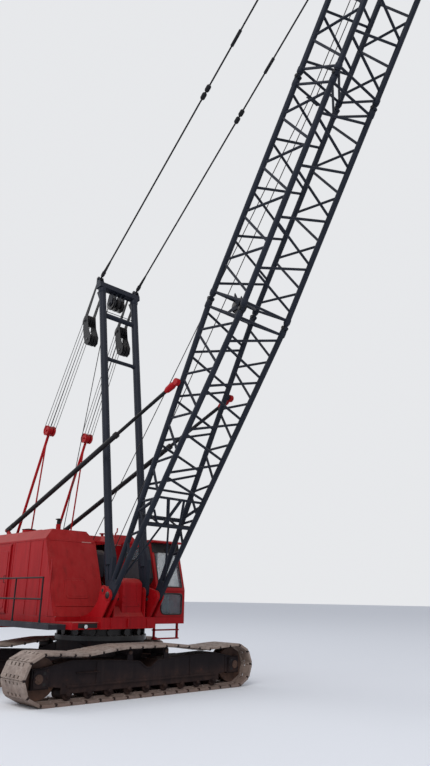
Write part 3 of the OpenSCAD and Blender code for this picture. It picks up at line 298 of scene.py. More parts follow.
def cloth(name, base):
    """Woven seat cloth."""
    s = Shade(name)
    weave = s.node("ShaderNodeTexVoronoi", {"Vector": s.place, "Scale": 260.0})
    colour = s.mix(s.noise(7.0, 4.0), tuple(c * 0.6 for c in base), tuple(min(1, c * 1.5) for c in base))
    return s.finish(colour, 0.86, 0.0, weave, 0.3)


def lamp_lens(name):
    """Ribbed lamp glass."""
    s = Shade(name)
    ribs = s.node("ShaderNodeTexWave", {"Vector": s.place, "Scale": 24.0}, bands_direction="Z")
    return s.finish(s.mix(ribs, paint(196, 200, 204), paint(236, 238, 240)), 0.12, 0.0, ribs, 0.4)


FINISHES = {}


def make_finishes(hues):
    red, blue = tuple(hues.house_red), tuple(hues.boom_blue)
    FINISHES.update(
        house=painted("House red", red, tuple(min(1, c * 1.15 + 0.004) for c in red), 0.42, 0.4, 0.22, 0.12,
                      worn=paint(92, 44, 42)),
        bracket=painted("Bracket red", tuple(c * 1.15 for c in red), red, 0.45, 0.25, 0.2, 0.25),
        boom=painted("Boom blue grey", blue, tuple(c * 1.3 + 0.001 for c in blue), 0.5, 0.2, 0.1, 0.08,
                     worn=paint(62, 66, 74)),
        black=painted("Black paint", paint(22, 23, 26), paint(34, 34, 37), 0.5, 0.2, 0.2, 0.15,
                      worn=paint(66, 63, 62)),
        chassis=painted("Chassis black", paint(24, 19, 22), paint(34, 27, 29), 0.62, 0.3, 0.22, 0.25, mud=0.22,
                        mud_top=0.7, worn=paint(74, 62, 58)),
        casting=painted("Dusty casting", paint(58, 46, 43), paint(82, 68, 61), 0.75, 0.3, 0.5, 0.5, mud=0.5,
                        mud_top=1.4, worn=paint(120, 104, 94)),
        deck=painted("Deck grey", paint(42, 41, 47), paint(58, 57, 63), 0.6, 0.3, 0.35, 0.3,
                     worn=paint(104, 100, 100)),
        # Near-black painted shade for recesses, holes and the ledge's opening, drawn as thin flat pieces
        hollow=bare("Dark hollow", paint(14, 13, 14), paint(24, 20, 20), 0.85, 0.0),
        # Pale pink for thin strips: painted highlight below the eaves, and worn paint with painted highlight on the
        # ledge's edge
        pale=bare("Pale strip", paint(196, 140, 132), paint(160, 96, 92), 0.5, 0.0),
        blind=bare("Window blind", paint(58, 58, 63), paint(70, 68, 70), 0.6, 0.0),
        steel=bare("Working steel", paint(104, 104, 106), paint(60, 50, 46)),
        # Dark greasy steel; on the roller path and swing rollers its darkness is also painted shade under the bed
        grease=bare("Greasy steel", paint(42, 42, 44), paint(26, 24, 24), 0.4, 0.5),
        rubber=bare("Black rubber", paint(24, 24, 25), paint(44, 42, 41), 0.75, 0.0, 2.0),
        shoes=shoe_steel("Shoe steel"),
        rope=rope_wire("Wire rope"),
        glass=clear("Window glass", paint(120, 132, 138)),
        seat=cloth("Seat cloth", paint(42, 42, 46)),
        lens=lamp_lens("Lamp lens"),
    )


NODE_FINISH = {
    "house": "rotating_bed counterweight house_right house_front house_left house_rear house_roof side_door_right "
             "side_door_left roof_fittings front_cover cab_shell cab_roof cab_door",
    "bracket": "hinge_brackets back_hitch hitch_sheaves cab_step",
    "boom": "mast_leg_right mast_leg_left mast_head boom_butt boom_insert_lower boom_insert_upper boom_top",
    "black": "handrails mast_sheaves pendants point_sheaves stop_tube_right stop_rod_right stop_tube_left "
             "stop_rod_left",
    "casting": "drive_tumblers idlers",
    "chassis": "side_frames carbody bottom_rollers carrier_rollers",
    "shoes": "track_front track_rear",
    "steel": "control_stand",
    # roller_path and swing_rollers: dark greasy steel, also as painted shade under the bed
    "grease": "front_drum rear_drum engine roller_path swing_rollers",
    "deck": "walkways",
    "glass": "cab_glass door_glass",
    "seat": "operator_seat",
}
# Slot for what has each finish, dark_steel where none is given; fitted looks it up and keeps it nowhere
FINISH_SLOT = {"house": "house_paint", "bracket": "house_paint", "pale": "house_paint", "boom": "boom_paint",
               "shoes": "dusty_shoes", "steel": "bare_steel", "deck": "bare_steel", "lens": "glass"}


# ---- Mesh building ----

def circle(middle, along, radius, sides, across=None):
    """Points of a circle round a direction, from the side that across gives."""
    u = along.orthogonal().normalized() if across is None else across
    v = along.cross(u)
    return [middle + (u * math.cos(k * math.tau / sides) + v * math.sin(k * math.tau / sides)) * radius
            for k in range(sides)]


def tube_faces(rings, sides):
    """Faces of a tube of rings with that many points each: its quads, then its two ends."""
    quads = [(j * sides + k, j * sides + (k + 1) % sides, (j + 1) * sides + (k + 1) % sides, (j + 1) * sides + k)
             for j in range(rings - 1) for k in range(sides)]
    return quads + [tuple(range(sides))[::-1], tuple(range((rings - 1) * sides, rings * sides))]


SHARP, CHAMFER = math.radians(38), 0.004


class Shape:
    """Collects faces of one piece that rides a body, in a frame."""

    def __init__(self, body=None, place=WORLD):
        self.body, self.place, self.points, self.faces = body, place, [], []

    def add(self, points, faces):
        start = len(self.points)
        self.points += [self.place @ Vector(p) for p in points]
        self.faces += [[start + i for i in f] for f in faces]

    def box(self, x0, x1, y0, y1, z0, z1):
        xs, ys, zs = sorted((x0, x1)), sorted((y0, y1)), sorted((z0, z1))
        self.add([(x, y, z) for x in xs for y in ys for z in zs],
                 [(0, 1, 3, 2), (4, 6, 7, 5), (0, 4, 5, 1), (2, 3, 7, 6), (0, 2, 6, 4), (1, 5, 7, 3)])

    def prism(self, outline, along, start, end):
        """An outline on the two other axes, drawn out along x, y or z."""
        axis = "xyz".index(along)
        self.add([(*p[:axis], d, *p[axis:]) for d in (start, end) for p in outline], tube_faces(2, len(outline)))

    def plate(self, outline, y, half):
        """An outline in x and z, half its thickness either side of y."""
        self.prism(outline, "y", y - half, y + half)

    def tube(self, rings):
        self.add([p for ring in rings for p in ring], tube_faces(len(rings), len(rings[0])))

    def turned(self, a, b, profile, n=20):
        """Rings of [share of the way from a to b, radius], closed at both ends."""
        a, b = Vector(a), Vector(b)
        self.tube([circle(a + (b - a) * t, (b - a).normalized(), r, n) for t, r in profile])

    def spun(self, at, axis, length, profile, n=20):
        """Turned from a point along x, y or z; a negative length runs back."""
        end = list(at)
        end["xyz".index(axis)] += length
        self.turned(at, end, profile, n)

    def rod(self, a, b, r, n=16):
        self.turned(a, b, ((0, r), (1, r)), n)

    def surround(self, corners, r):
        """Rods from each corner to the next and back to the first."""
        for a, b in zip(corners, corners[1:] + corners[:1]):
            self.rod(a, b, r, 8)

    def pin(self, at, length, r, n=20):
        """A pin along y with chamfered ends, its middle at a point."""
        (x, y, z), e = at, CHAMFER / length
        self.spun((x, y - length / 2, z), "y", length, ((0, r - CHAMFER), (e, r), (1 - e, r), (1, r - CHAMFER)), n)

    def sheave(self, at, half, rim, hub, edge, land):
        """A grooved wheel along y, its middle at a point; edge and land are shares of its width."""
        x, y, z = at
        self.spun((x, y - half, z), "y", 2 * half, ((0, hub), (edge, rim), (land, rim), (0.5, rim - 0.04),
                                                    (1 - land, rim), (1 - edge, rim), (1, hub)), 28)

    def pipe(self, path, r, n=10):
        """A round pipe along a path, bending at its points."""
        path = [Vector(p) for p in path]
        rings, u = [], None
        for i, p in enumerate(path):
            d = (path[min(i + 1, len(path) - 1)] - path[max(i - 1, 0)]).normalized()
            u = d.orthogonal().normalized() if u is None else (u - d * u.dot(d)).normalized()
            rings.append(circle(p, d, r, n, u))
        self.tube(rings)

    def mesh(self, name, bevel=0.0):
        bm = bmesh.new()
        points = [bm.verts.new(p) for p in self.points]
        for f in self.faces:
            bm.faces.new([points[i] for i in f])
        bmesh.ops.recalc_face_normals(bm, faces=bm.faces)
        if bevel:
            sharp = [e for e in bm.edges if len(e.link_faces) == 2 and e.calc_face_angle() > 0.6]
            bmesh.ops.bevel(bm, geom=sharp, offset=bevel, segments=1, affect="EDGES", clamp_overlap=True)
        data = bpy.data.meshes.new(name)
        bm.to_mesh(data)
        bm.free()
        data.shade_smooth()
        data.set_sharp_from_angle(angle=SHARP)
        return data

    def done(self, name, finish, bevel=0.0, slot=None):
        return fitted(self.mesh(name, bevel), name, finish, self.body, slot)


def shapes(count, body, place=WORLD):
    """Empty shapes for pieces that share a body and a frame."""
    return [Shape(body, place) for _ in range(count)]


def linked(name, data):
    """A new object in the scene."""
    thing = bpy.data.objects.new(name, data)
    bpy.context.scene.collection.objects.link(thing)
    return thing


def fitted(data, name, finish, body, slot=None):
    """Puts a finished mesh in the scene on its body, if it has one."""
    piece, slot = linked(name, data), slot or FINISH_SLOT.get(finish, "dark_steel")
    data.materials.clear()
    data.materials.append(FINISHES[finish])
    if body:
        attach(piece, body)
    return piece


def spread(name, group, rows, finish, body, slot, inputs):
    """Geometry Nodes piece: the group's shape at each row of (place, turn), made a plain mesh."""
    cloud = bpy.data.meshes.new(name + "_places")
    cloud.from_pydata([Vector(p) for p, _ in rows], [], [])
    turn = cloud.attributes.new("turn", "FLOAT_VECTOR", "POINT")
    for i, (_, t) in enumerate(rows):
        turn.data[i].vector = t
    carrier = linked(name + "_places", cloud)
    modifier = carrier.modifiers.new("Spread", "NODES")
    modifier.node_group = group
    values = {"Finish": FINISHES[finish], **inputs}
    for item in group.interface.items_tree:
        if item.item_type == "SOCKET" and item.in_out == "INPUT" and item.name in values:
            modifier[item.identifier] = values[item.name]
    carrier.update_tag()
    graph = bpy.context.evaluated_depsgraph_get()
    data = bpy.data.meshes.new_from_object(carrier.evaluated_get(graph))
    carrier.modifiers.clear()
    bpy.data.objects.remove(carrier)
    data.name = name
    data.set_sharp_from_angle(angle=SHARP)
    return fitted(data, name, finish, body, slot)


def spread_group(name, shape, **inputs):
    """A node group that puts shape(tree, inputs) on each point, turned by the points' own turn."""
    group = bpy.data.node_groups.new(name, "GeometryNodeTree")
    for label, kind in {"Geometry": "Geometry", **inputs, "Finish": "Material"}.items():
        group.interface.new_socket(label, in_out="INPUT", socket_type="NodeSocket" + kind)
    group.interface.new_socket("Geometry", in_out="OUTPUT", socket_type="NodeSocketGeometry")
    tree = Tree(group)
    entry = group.nodes.new("NodeGroupInput")
    given = {s.name: Wire(tree, s) for s in entry.outputs if s.name}
    turn = tree.node("GeometryNodeInputNamedAttribute", {"Name": "turn"}, data_type="FLOAT_VECTOR")
    placed = tree.node("GeometryNodeInstanceOnPoints",
                       {"Points": given["Geometry"], "Instance": shape(tree, given), "Rotation": turn})
    solid = tree.node("GeometryNodeRealizeInstances", {"Geometry": placed})
    dressed = tree.node("GeometryNodeSetMaterial", {"Geometry": solid, "Material": given["Finish"]})
    leave = group.nodes.new("NodeGroupOutput")
    group.links.new(dressed.socket, leave.inputs[0])
    return group


def hex_bolt(tree, given):
    """A hexagon head on a washer, standing on z."""
    radius, height = given["Radius"], given["Height"]
    head = tree.node("GeometryNodeMeshCylinder", {"Vertices": 6, "Radius": radius, "Depth": height})
    lift = tree.node("ShaderNodeCombineXYZ", {2: height * 0.7})
    head = tree.node("GeometryNodeTransform", {"Geometry": head, "Translation": lift})
    washer = tree.node("GeometryNodeMeshCylinder", {"Vertices": 14, "Radius": radius * 1.35, "Depth": height * 0.4})
    joined = tree.tree.nodes.new("GeometryNodeJoinGeometry")
    for part in (head, washer):
        tree.tree.links.new(part.socket, joined.inputs[0])
    return Wire(tree, joined.outputs[0])


def given_object(tree, given):
    return tree.node("GeometryNodeObjectInfo", {"Object": given["Shape"]}, "Geometry")


GROUPS = {}


def bolts(name, rows, finish, body, radius, height):
    if "bolt" not in GROUPS:
        GROUPS["bolt"] = spread_group("Hexagon bolts", hex_bolt, Radius="Float", Height="Float")
    return spread(name, GROUPS["bolt"], rows, finish, body, None, {"Radius": radius, "Height": height})


def copies(name, prototype, rows, finish, body, slot=None):
    """Copies of a small mesh, placed by Geometry Nodes."""
    if "copy" not in GROUPS:
        GROUPS["copy"] = spread_group("Shape on places", given_object, Shape="Object")
    source = linked(name + "_shape", prototype)
    piece = spread(name, GROUPS["copy"], rows, finish, body, slot, {"Shape": source})
    bpy.data.objects.remove(source)
    return piece


def facing(axis):
    """Turn that points z along a row axis."""
    return Vector(axis).to_track_quat("Z", "X").to_euler()[:]


def rope(name, a, b, radius, bodies=None, body=None):
    """A straight rope with a UV along it, on its body; one given two bodies, where it crosses a joint, has only its
    two end rings and goes on no body.
    """
    a, b = Vector(a), Vector(b)
    w, sides, rings = (b - a).normalized(), 8, 2 if bodies else 13
    shares = [i / (rings - 1) for i in range(rings)]
    points = [p for t in shares for p in circle(a + (b - a) * t, w, radius, sides)]
    data = bpy.data.meshes.new(name)
    data.from_pydata(points, [], tube_faces(rings, sides))
    uv = data.uv_layers.new(name="UVMap")
    for polygon in data.polygons:
        # The quad that closes a ring has v at 1 on its far edge, and not at 0
        closing = polygon.index < (rings - 1) * sides and polygon.index % sides == sides - 1
        for loop in polygon.loop_indices:
            ring, k = divmod(data.loops[loop].vertex_index, sides)
            k = sides if closing and k == 0 else k
            uv.data[loop].uv = (shares[ring] * (b - a).length / (radius * 16), k / sides)
    data.shade_smooth()
    data.set_sharp_from_angle(angle=math.radians(60))
    piece = fitted(data, name, "rope", body)
    if bodies:
        a + w * 0.05
        b - w * 0.05
        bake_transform(piece)
    return piece


# ---- Tracks and carbody ----

def shoe_pins():
    """Hinge pins of a track loop as (y, z), as in the source, and the distance between them."""
    def bend(middle, start):
        angles = [math.radians(a) for a in range(start, start + 181, 15)]
        return [(middle + WRAP_R * math.cos(a), AXLE_Z + WRAP_R * math.sin(a)) for a in angles]
    top_run = [(SAG_Y, SAG_Z), (HUMP_Y, HUMP_Z), (-HUMP_Y, HUMP_Z), (-SAG_Y, SAG_Z)]
    corners = bend(AXLE_Y, -90) + top_run + bend(-AXLE_Y, 90)
    spans = [(a, b, math.dist(a, b)) for a, b in zip(corners, corners[1:] + corners[:1])]
    total = sum(length for _, _, length in spans)
    count = 2 * round(total / SHOE_PITCH / 2)

    def at(s):
        s %= total
        for (ya, za), (yb, zb), length in spans:
            if s <= length:
                return ya + (yb - ya) * s / length, za + (zb - za) * s / length
            s -= length
        return corners[0]
    middle = (total - 2 * AXLE_Y) / 2
    return [at(middle + i * total / count) for i in range(count)], total / count


def merged(data):
    """Joins a mesh's touching boxes: the faces where two meet go, and flat faces become one."""
    bm = bmesh.new()
    bm.from_mesh(data)
    bmesh.ops.remove_doubles(bm, verts=bm.verts, dist=1e-5)
    twins = {}
    for f in bm.faces:
        twins.setdefault(tuple(sorted(v.index for v in f.verts)), []).append(f)
    inner = [f for faces in twins.values() if len(faces) > 1 for f in faces]
    bmesh.ops.delete(bm, geom=inner, context="FACES")
    bmesh.ops.dissolve_limit(bm, angle_limit=0.01, verts=bm.verts, edges=bm.edges)
    bmesh.ops.recalc_face_normals(bm, faces=bm.faces)
    bm.to_mesh(data)
    bm.free()
    return data


def shoe_mesh(pitch):
    """One shoe: x across, y along the track from hinge to hinge, z inwards."""
    s = Shape()
    half, top, notch, gap, hole = SHOE_W / 2, SHOE_T / 2, 0.03, 0.007, 0.034
    y0, y1 = gap - pitch / 2, pitch / 2 - gap
    # Plate as strips round two rows of square holes, narrower at its outer corners
    xs = [notch - half] + [x + d for x in (-0.27, -0.09, 0.09, 0.27) for d in (-hole, hole)] + [half - notch]
    ys = [y0] + [y + d for y in (y0 + 0.057, y1 - 0.057) for d in (-hole, hole)] + [y1]
    for i in range(len(xs) - 1):
        for j in range(len(ys) - 1):
            if not (i % 2 and j % 2):
                s.box(xs[i], xs[i + 1], ys[j], ys[j + 1], -top, top)
    for side in SIDES:
        s.box(side * (half - notch), side * half, y0 + 0.022, y1 - 0.022, -top, top)
    # Rails that the rollers run on, the lug between them and the hinge knuckles
    for x in (-0.17, 0.17):
        s.box(x - 0.04, x + 0.04, y0 + 0.004, y1 - 0.004, top, top + 0.0415)
    s.prism([(-0.1, top), (-0.06, top + 0.036), (0.06, top + 0.036), (0.1, top)], "x", -0.05, 0.05)
    for k, x in enumerate((-0.4, -0.18, 0, 0.18, 0.4)):
        y = y0 + 0.012 if k % 2 else y1 - 0.012
        s.spun((x - 0.05, y, 0.02), "x", 0.1, ((0, 0.028), (0.08, 0.034), (0.92, 0.034), (1, 0.028)), 10)
    return merged(s.mesh("shoe"))


def hinge_pin_mesh():
    """The two heads of a shoe's hinge pin, either side of the track."""
    s = Shape()
    for side in SIDES:
        s.spun((side * 0.475, 0, 0.022), "x", side * 0.065, ((0, 0.03), (0.75, 0.032), (1, 0.022)), 10)
    return s.mesh("hinge_pin")


def lay_shoes():
    """The detailed shoes, which stand for the source's plain tracks, and their hinge pins."""
    pins, pitch = shoe_pins()
    links = [(a, b, (math.atan2(b[1] - a[1], b[0] - a[0]), 0, 0)) for a, b in zip(pins, pins[1:] + pins[:1])]
    shoe, pin = shoe_mesh(pitch), hinge_pin_mesh()
    for name, x in (("front", TRACK_X), ("rear", -TRACK_X)):
        rows = [((x, (a[0] + b[0]) / 2, (a[1] + b[1]) / 2), turn) for a, b, turn in links]
        piece = copies("shoes_" + name, shoe.copy(), rows, "shoes", "undercarriage")
        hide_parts("track_" + name)
        rows = [((x, *a), turn) for a, _, turn in links]
        copies("hinge_pins_" + name, pin.copy(), rows, "chassis", "undercarriage", "dusty_shoes")


# The side frames' outer faces as (x, the way that the face looks), and their top edge as (y, z)
FRAME_WEBS = [(side * TRACK_X + face * FRAME_HW, face) for side in SIDES for face in SIDES]
FRAME_TOP = ((-2.84, 0.828), (-2.25, 0.93), (-0.9, 0.87), (-0.29, 0.82), (-0.06, 0.665), (0.06, 0.665), (0.29, 0.82),
             (0.9, 0.87), (2.25, 0.93), (2.84, 0.828))


def dress_side_frames():
    """Flange along the top edge, posts and a small step on each web."""
    trim, flange, post = Shape("undercarriage"), 0.028, 0.022
    for x, face in FRAME_WEBS:
        for (ya, za), (yb, zb) in zip(FRAME_TOP, FRAME_TOP[1:]):
            trim.prism([(ya, za), (yb, zb), (yb, zb - flange), (ya, za - flange)], "x", x, x + face * flange)
        for y, top in ((-1.55, 0.87), (1.43, 0.865), (2.77, 0.82)):
            trim.box(x, x + face * 0.016, y - post, y + post, 0.384, top)
        trim.box(x, x + face * 0.07, -2.14, -1.48, 0.636, 0.652)
    trim.done("frame_flanges", "chassis", 0.003)


def dress_bearings(caps, pocket_shades):
    """Caps of the carrier rollers and bosses of the end wheels' bearings, with thin near-black patches of painted
    shade in their recesses; gives their bolts' places.
    """
    rows = []
    for x, face in FRAME_WEBS:
        for y in (-CARRIER_Y, CARRIER_Y):
            caps.spun((x, y, CARRIER_Z), "x", face * 0.04, ((0, 0.05), (0.7, 0.045), (1, 0.03)), 16)
        front = x + face * BEARING_CAP
        for end in SIDES:
            y = end * AXLE_Y
            caps.spun((front, y + end * 0.06, AXLE_Z), "x", face * 0.035,
                      ((0, 0.105), (0.5, 0.1), (0.55, 0.062), (1, 0.05)), 24)
            # Near-black patches of painted shade, in two recesses of each cap and in the gap beside it
            for z in (AXLE_Z - 0.115, AXLE_Z + 0.115):
                pocket_shades.box(front, front + face * 0.003, y - end * 0.115, y - end * 0.045, z - 0.03, z + 0.03)
            pocket_shades.box(x, x + face * 0.004, y + end * 0.195, y + end * 0.215, AXLE_Z + 0.02, AXLE_Z + 0.16)
            rows += [((front, y + dy, AXLE_Z + dz), facing((face, 0, 0)))
                     for dy in (-0.15, 0.15) for dz in (-0.15, 0, 0.15)]
    return rows


def dress_rollers(hubs, rims):
    """Hubs and guide flanges of the bottom rollers, and the bars on the end wheels that drive the shoes."""
    r = ROLLER_R
    for x, face in FRAME_WEBS:
        for y in ROLLER_YS:
            hubs.spun((x, y, ROLLER_Z), "x", face * 0.035, ((0, 0.046), (0.6, 0.046), (1, 0.03)), 14)
    for x in (-TRACK_X, TRACK_X):
        for y in ROLLER_YS:
            for flange in (x - 0.23, x + 0.23):
                rims.spun((flange - 0.012, y, ROLLER_Z), "x", 0.024,
                          ((0, r - 0.006), (0.2, r), (0.8, r), (1, r - 0.006)))
        for end in SIDES:
            for k in range(8):
                a = math.radians(22.5 + k * 45)
                y, z = end * AXLE_Y + 0.4 * math.cos(a), AXLE_Z + 0.4 * math.sin(a)
                rims.rod((x - 0.1, y, z), (x + 0.1, y, z), 0.036, 10)


def dress_wheels():
    """Fittings of every wheel and roller of both tracks."""
    caps, pocket_shades, hubs, rims = shapes(4, "undercarriage")
    rows = dress_bearings(caps, pocket_shades)
    dress_rollers(hubs, rims)
    caps.done("bearing_caps", "casting")
    hubs.done("roller_hubs", "chassis")
    # Painted shade of the caps' recesses and gaps
    pocket_shades.done("cap_pockets", "hollow")
    rims.done("wheel_rims", "chassis")
    bolts("bearing_bolts", rows, "chassis", "undercarriage", 0.017, 0.016)


def dress_carbody():
    """End plates, gussets and ribs of the axle beams, and the bolts of the beams and the roller path."""
    web, rows = Shape("undercarriage"), []
    for side in SIDES:
        x = side * (BEAM_X - 0.03)
        for y in (-BEAM_Y, BEAM_Y):
            web.box(x, side * BEAM_X, y - 0.33, y + 0.33, 0.38, 0.9)
            rows += [((x, y + dy, z), facing((-side, 0, 0)))
                     for dy in (-0.295, 0.295) for z in (0.45, 0.57, 0.7, 0.83)]
            web.plate([(side * 0.6, 0.86), (side * 1.6, 0.86), (side * 1.6, 0.885), (side * 0.6, 1.16)], y, 0.02)
            for rib in (0.9, 1.3):
                web.box(side * rib, side * (rib + 0.03), y - 0.275, y + 0.275, 0.43, 0.85)
    web.done("carbody_webs", "chassis", 0.004)
    bolts("beam_bolts", rows, "chassis", "undercarriage", 0.022, 0.02)
    angles = [math.tau * k / 48 for k in range(48)]
    ring = [((1.252 * math.cos(a), 1.252 * math.sin(a), 1.3503), (0, 0, 0)) for a in angles]
    bolts("path_bolts", ring, "steel", "undercarriage", 0.011, 0.012)


# ---- Boom, mast and ropes ----

# Rods low on the butt as (end, end, radius) in the boom's frame: the zigzag of its front face, the short brace
# beside it, the two long stays to the feet, the stays between the faces, and one along each side
BUTT_RODS = (
    ((2.98, 0.02, -0.275), (2.22, -0.2, -0.225), 0.045), ((2.98, -0.42, -0.275), (2.22, -0.06, -0.225), 0.045),
    ((2.98, 0.12, -0.275), (2.22, 0.36, -0.225), 0.035), ((2.6, -0.7, -0.25), (2.22, -0.42, -0.225), 0.03),
    ((2.2, -0.24, -0.225), (0.5, -0.76, -0.1), 0.028), ((2.2, -0.02, -0.225), (0.5, 0.74, -0.1), 0.028),
    ((2.2, -0.3, 0.225), (2.2, -0.3, -0.225), 0.03), ((2.2, 0.3, 0.225), (2.2, 0.3, -0.225), 0.03),
    ((2.9, -CHORD_Y, -0.27), (2.3, -CHORD_Y, 0.22), 0.042), ((2.9, CHORD_Y, -0.27), (2.3, CHORD_Y, 0.22), 0.042),
)


def dress_section_joint(s, heads, lugs, guides):
    """Pins and collars of the joint between two sections, and a rope roller on the end frame before it."""
    for y in (-CHORD_Y, CHORD_Y):
        for z in (-CHORD_Z, CHORD_Z):
            heads.pin((s, y, z), 0.21, 0.034, 16)
            for way in SIDES:
                heads.spun((s, y + way * 0.084, z), "y", way * 0.012, ((0, 0.048), (0.7, 0.048), (1, 0.036)), 16)
                lugs.spun((s + way * 0.11, y, z), "x", way * 0.15,
                          ((0, 0.086), (0.15, 0.09), (0.75, 0.09), (1, 0.077)))
    s -= 0.2
    for y in (-0.2, 0.2):
        guides.rod((s, y, CHORD_Z), (s, y, CHORD_Z + 0.13), 0.02, 10)
    guides.spun((s, -0.19, CHORD_Z + 0.1), "y", 0.38, ((0, 0.018), (0.02, 0.024), (0.98, 0.024), (1, 0.018)), 14)


def hang_guide_sheave(heads, guides):
    """Guide sheave of the hoist lines, on two plates between the end frames at the top of the butt."""
    s, z, top = BUTT + 0.1, 0.42, CHORD_Z
    heads.sheave((s, 0, z), 0.09, 0.22, 0.16, 0.08, 0.2)
    heads.pin((s, 0, z), 0.3, 0.035)
    for y in (-0.12, 0.12):
        guides.plate([(s - 0.3, top), (s - 0.1, 0.34), (s + 0.1, 0.34), (s + 0.3, top), (s + 0.24, top), (s, 0.44),
                      (s - 0.24, top)], y, 0.01)


def dress_boom_ends(heads, guides):
    """Keeper over the point sheaves, and the pins' heads at the foot and the point."""
    s = BOOM_LEN
    for y in (-0.32, 0.32):
        guides.plate([(s - 0.1, 0.3), (s + 0.2, 0.36), (s + 0.3, 0.2), (s, 0.1)], y, 0.01)
    guides.rod((s + 0.2, -0.33, 0.34), (s + 0.2, 0.33, 0.34), 0.022, 10)
    for side in SIDES:
        heads.spun((0, side * CHEEK_Y, 0), "y", side * 0.035, ((0, 0.09), (0.6, 0.09), (1, 0.07)), 24)
        heads.spun((s, side * 0.446, 0), "y", side * 0.022, ((0, 0.1), (1, 0.1)), 24)


def dress_boom():
    heads, lugs, guides = shapes(3, "boom", BOOM)
    for s in (BUTT, BUTT + INSERT, BUTT + 2 * INSERT):
        dress_section_joint(s, heads, lugs, guides)
    for a, b, r in BUTT_RODS:
        guides.rod(a, b, r, 10)
    hang_guide_sheave(heads, guides)
    dress_boom_ends(heads, guides)
    heads.done("section_pins", "grease")
    lugs.done("chord_collars", "boom")
    guides.done("boom_guides", "boom")


# Crossbars of the mast, as places along it
CROSSBARS = (7.1, 8.7)
# Outline of a hoist block's cheek, and (outline, thickness) of each rim and rib on a leg's flared foot
CHEEK = ((9.0, 0.64), (9.0, 0.84), (8.6, 0.93), (8.25, 0.9), (7.95, 0.84), (7.84, 0.7), (7.9, 0.55), (8.1, 0.5),
         (8.5, 0.62))
FOOT_RIBS = (
    (((0.3, -0.018), (1.42, -0.018), (1.42, 0.018), (0.3, 0.018)), 0.02),
    (((0.12, 0.115), (0.85, 0.18), (1.5, 0.09), (1.5, 0.07), (0.85, 0.155), (0.12, 0.095)), 0.012),
    (((0.1, -0.115), (0.85, -0.25), (1.5, -0.09), (1.5, -0.07), (0.85, -0.225), (0.1, -0.09)), 0.012),
)


def dress_mast_leg(side, head, plates):
    """Collars at a leg's head and crossbars, its head plate, and the rim and ribs of its flared foot."""
    y, s = side * MAST_HEAD_Y, MAST_LEN
    head.spun((s - 0.18, y, 0), "x", 0.2, ((0, 0.118), (0.3, 0.135), (1, 0.135)), 28)
    head.plate([(s - 0.5, 0.12), (s, 0.3), (s, -0.12), (s - 0.35, -0.12)], y, 0.012)
    for bar in CROSSBARS:
        inner = MAST_FOOT_Y + (MAST_HEAD_Y - MAST_FOOT_Y) * bar / MAST_LEN - 0.115
        head.spun((bar, side * (inner - 0.09), 0), "y", side * 0.1, ((0, 0.06), (0.4, 0.068), (1, 0.085)))
    for face in SIDES:
        foot = side * MAST_FOOT_Y + face * 0.055
        for outline, thickness in FOOT_RIBS:
            plates.prism(outline, "y", foot, foot + face * thickness)


def dress_hoist_block(side, shafts, cheeks):
    """Shafts of a boom hoist block and a pendant, and the cheeks and lower sheaves below its main sheaves."""
    y = side * MAST_HEAD_Y
    shafts.pin((MAST_LEN + PENDANT_S, side * PENDANT_Y, 0), 0.24, 0.034)
    shafts.pin((BLOCK_S, y, BLOCK_Z), 0.4, 0.045)
    shafts.pin((LOW_SHEAVE_S, y, LOW_SHEAVE_Z), 0.36, 0.04)
    for way in SIDES:
        shafts.spun((BLOCK_S, y + way * 0.165, BLOCK_Z), "y", way * 0.02475, ((0, 0.07), (1, 0.055)), 16)
        cheeks.plate(CHEEK, y + way * 0.15, 0.008)
        shafts.sheave((LOW_SHEAVE_S, y + way * 0.06, LOW_SHEAVE_Z), 0.04, 0.19, 0.14, 0.1, 0.3)


def dress_mast():
    head, shafts, plates, cheeks = shapes(4, "mast", MAST)
    for side in SIDES:
        dress_mast_leg(side, head, plates)
        dress_hoist_block(side, shafts, cheeks)
    s, bar = MAST_LEN, CROSSBARS[-1]
    head.rod((bar, -0.52, 0), (bar, 0.52, 0), 0.085, 20)
    head.rod((bar + 0.18, -0.54, 0.02), (bar + 0.18, 0.54, 0.02), 0.012, 8)
    # Deflector sheaves that hang below the head beam, for the hoist lines and the fall line
    for y in (-0.2, -0.02, 0.16):
        shafts.sheave((HEAD_SHEAVE_S, y, HEAD_SHEAVE_Z), 0.04, 0.21, 0.1, 0.05, 0.3)
    for y in (-0.26, -0.11, 0.07, 0.22):
        head.plate([(s, 0.16), (s - 0.3, 0.3), (s - 0.46, 0.2), (s - 0.42, 0.02), (s, -0.08)], y, 0.008)
    shafts.pin((HEAD_SHEAVE_S, -0.02, HEAD_SHEAVE_Z), 0.56, 0.04)
    head.done("mast_collars", "boom", 0.003)
    plates.done("mast_foot_plates", "boom")
    shafts.done("mast_shafts", "grease")
    cheeks.done("block_cheeks", "black", 0.004)


def socket_pendants():
    """Sockets at both ends of each pendant, and the two connectors in its run."""
    low = MAST @ Vector((MAST_LEN + PENDANT_S, 0, 0))
    high = BOOM @ Vector((BOOM_LEN - PENDANT_S, 0, 0.36))
    cups, ends = Shape("mast"), Shape("boom")
    for side in SIDES:
        a, b = (p + Vector((0, side * PENDANT_Y, 0)) for p in (low, high))
        u = (b - a).normalized()
        for cup, start, way in ((cups, a, u), (ends, b, -u)):
            cup.turned(start + way * 0.12, start + way * 0.72,
                       ((0, 0.05), (0.12, 0.062), (0.3, 0.062), (0.34, 0.045), (0.9, 0.034), (1, 0.028)), 16)
        for d in (6.5, 6.75):
            cups.turned(a + u * d, a + u * (d + 0.22), ((0, 0.05), (0.2, 0.075), (0.8, 0.075), (1, 0.05)), 16)
    cups.done("pendant_sockets", "black")
    ends.done("pendant_end_sockets", "black")


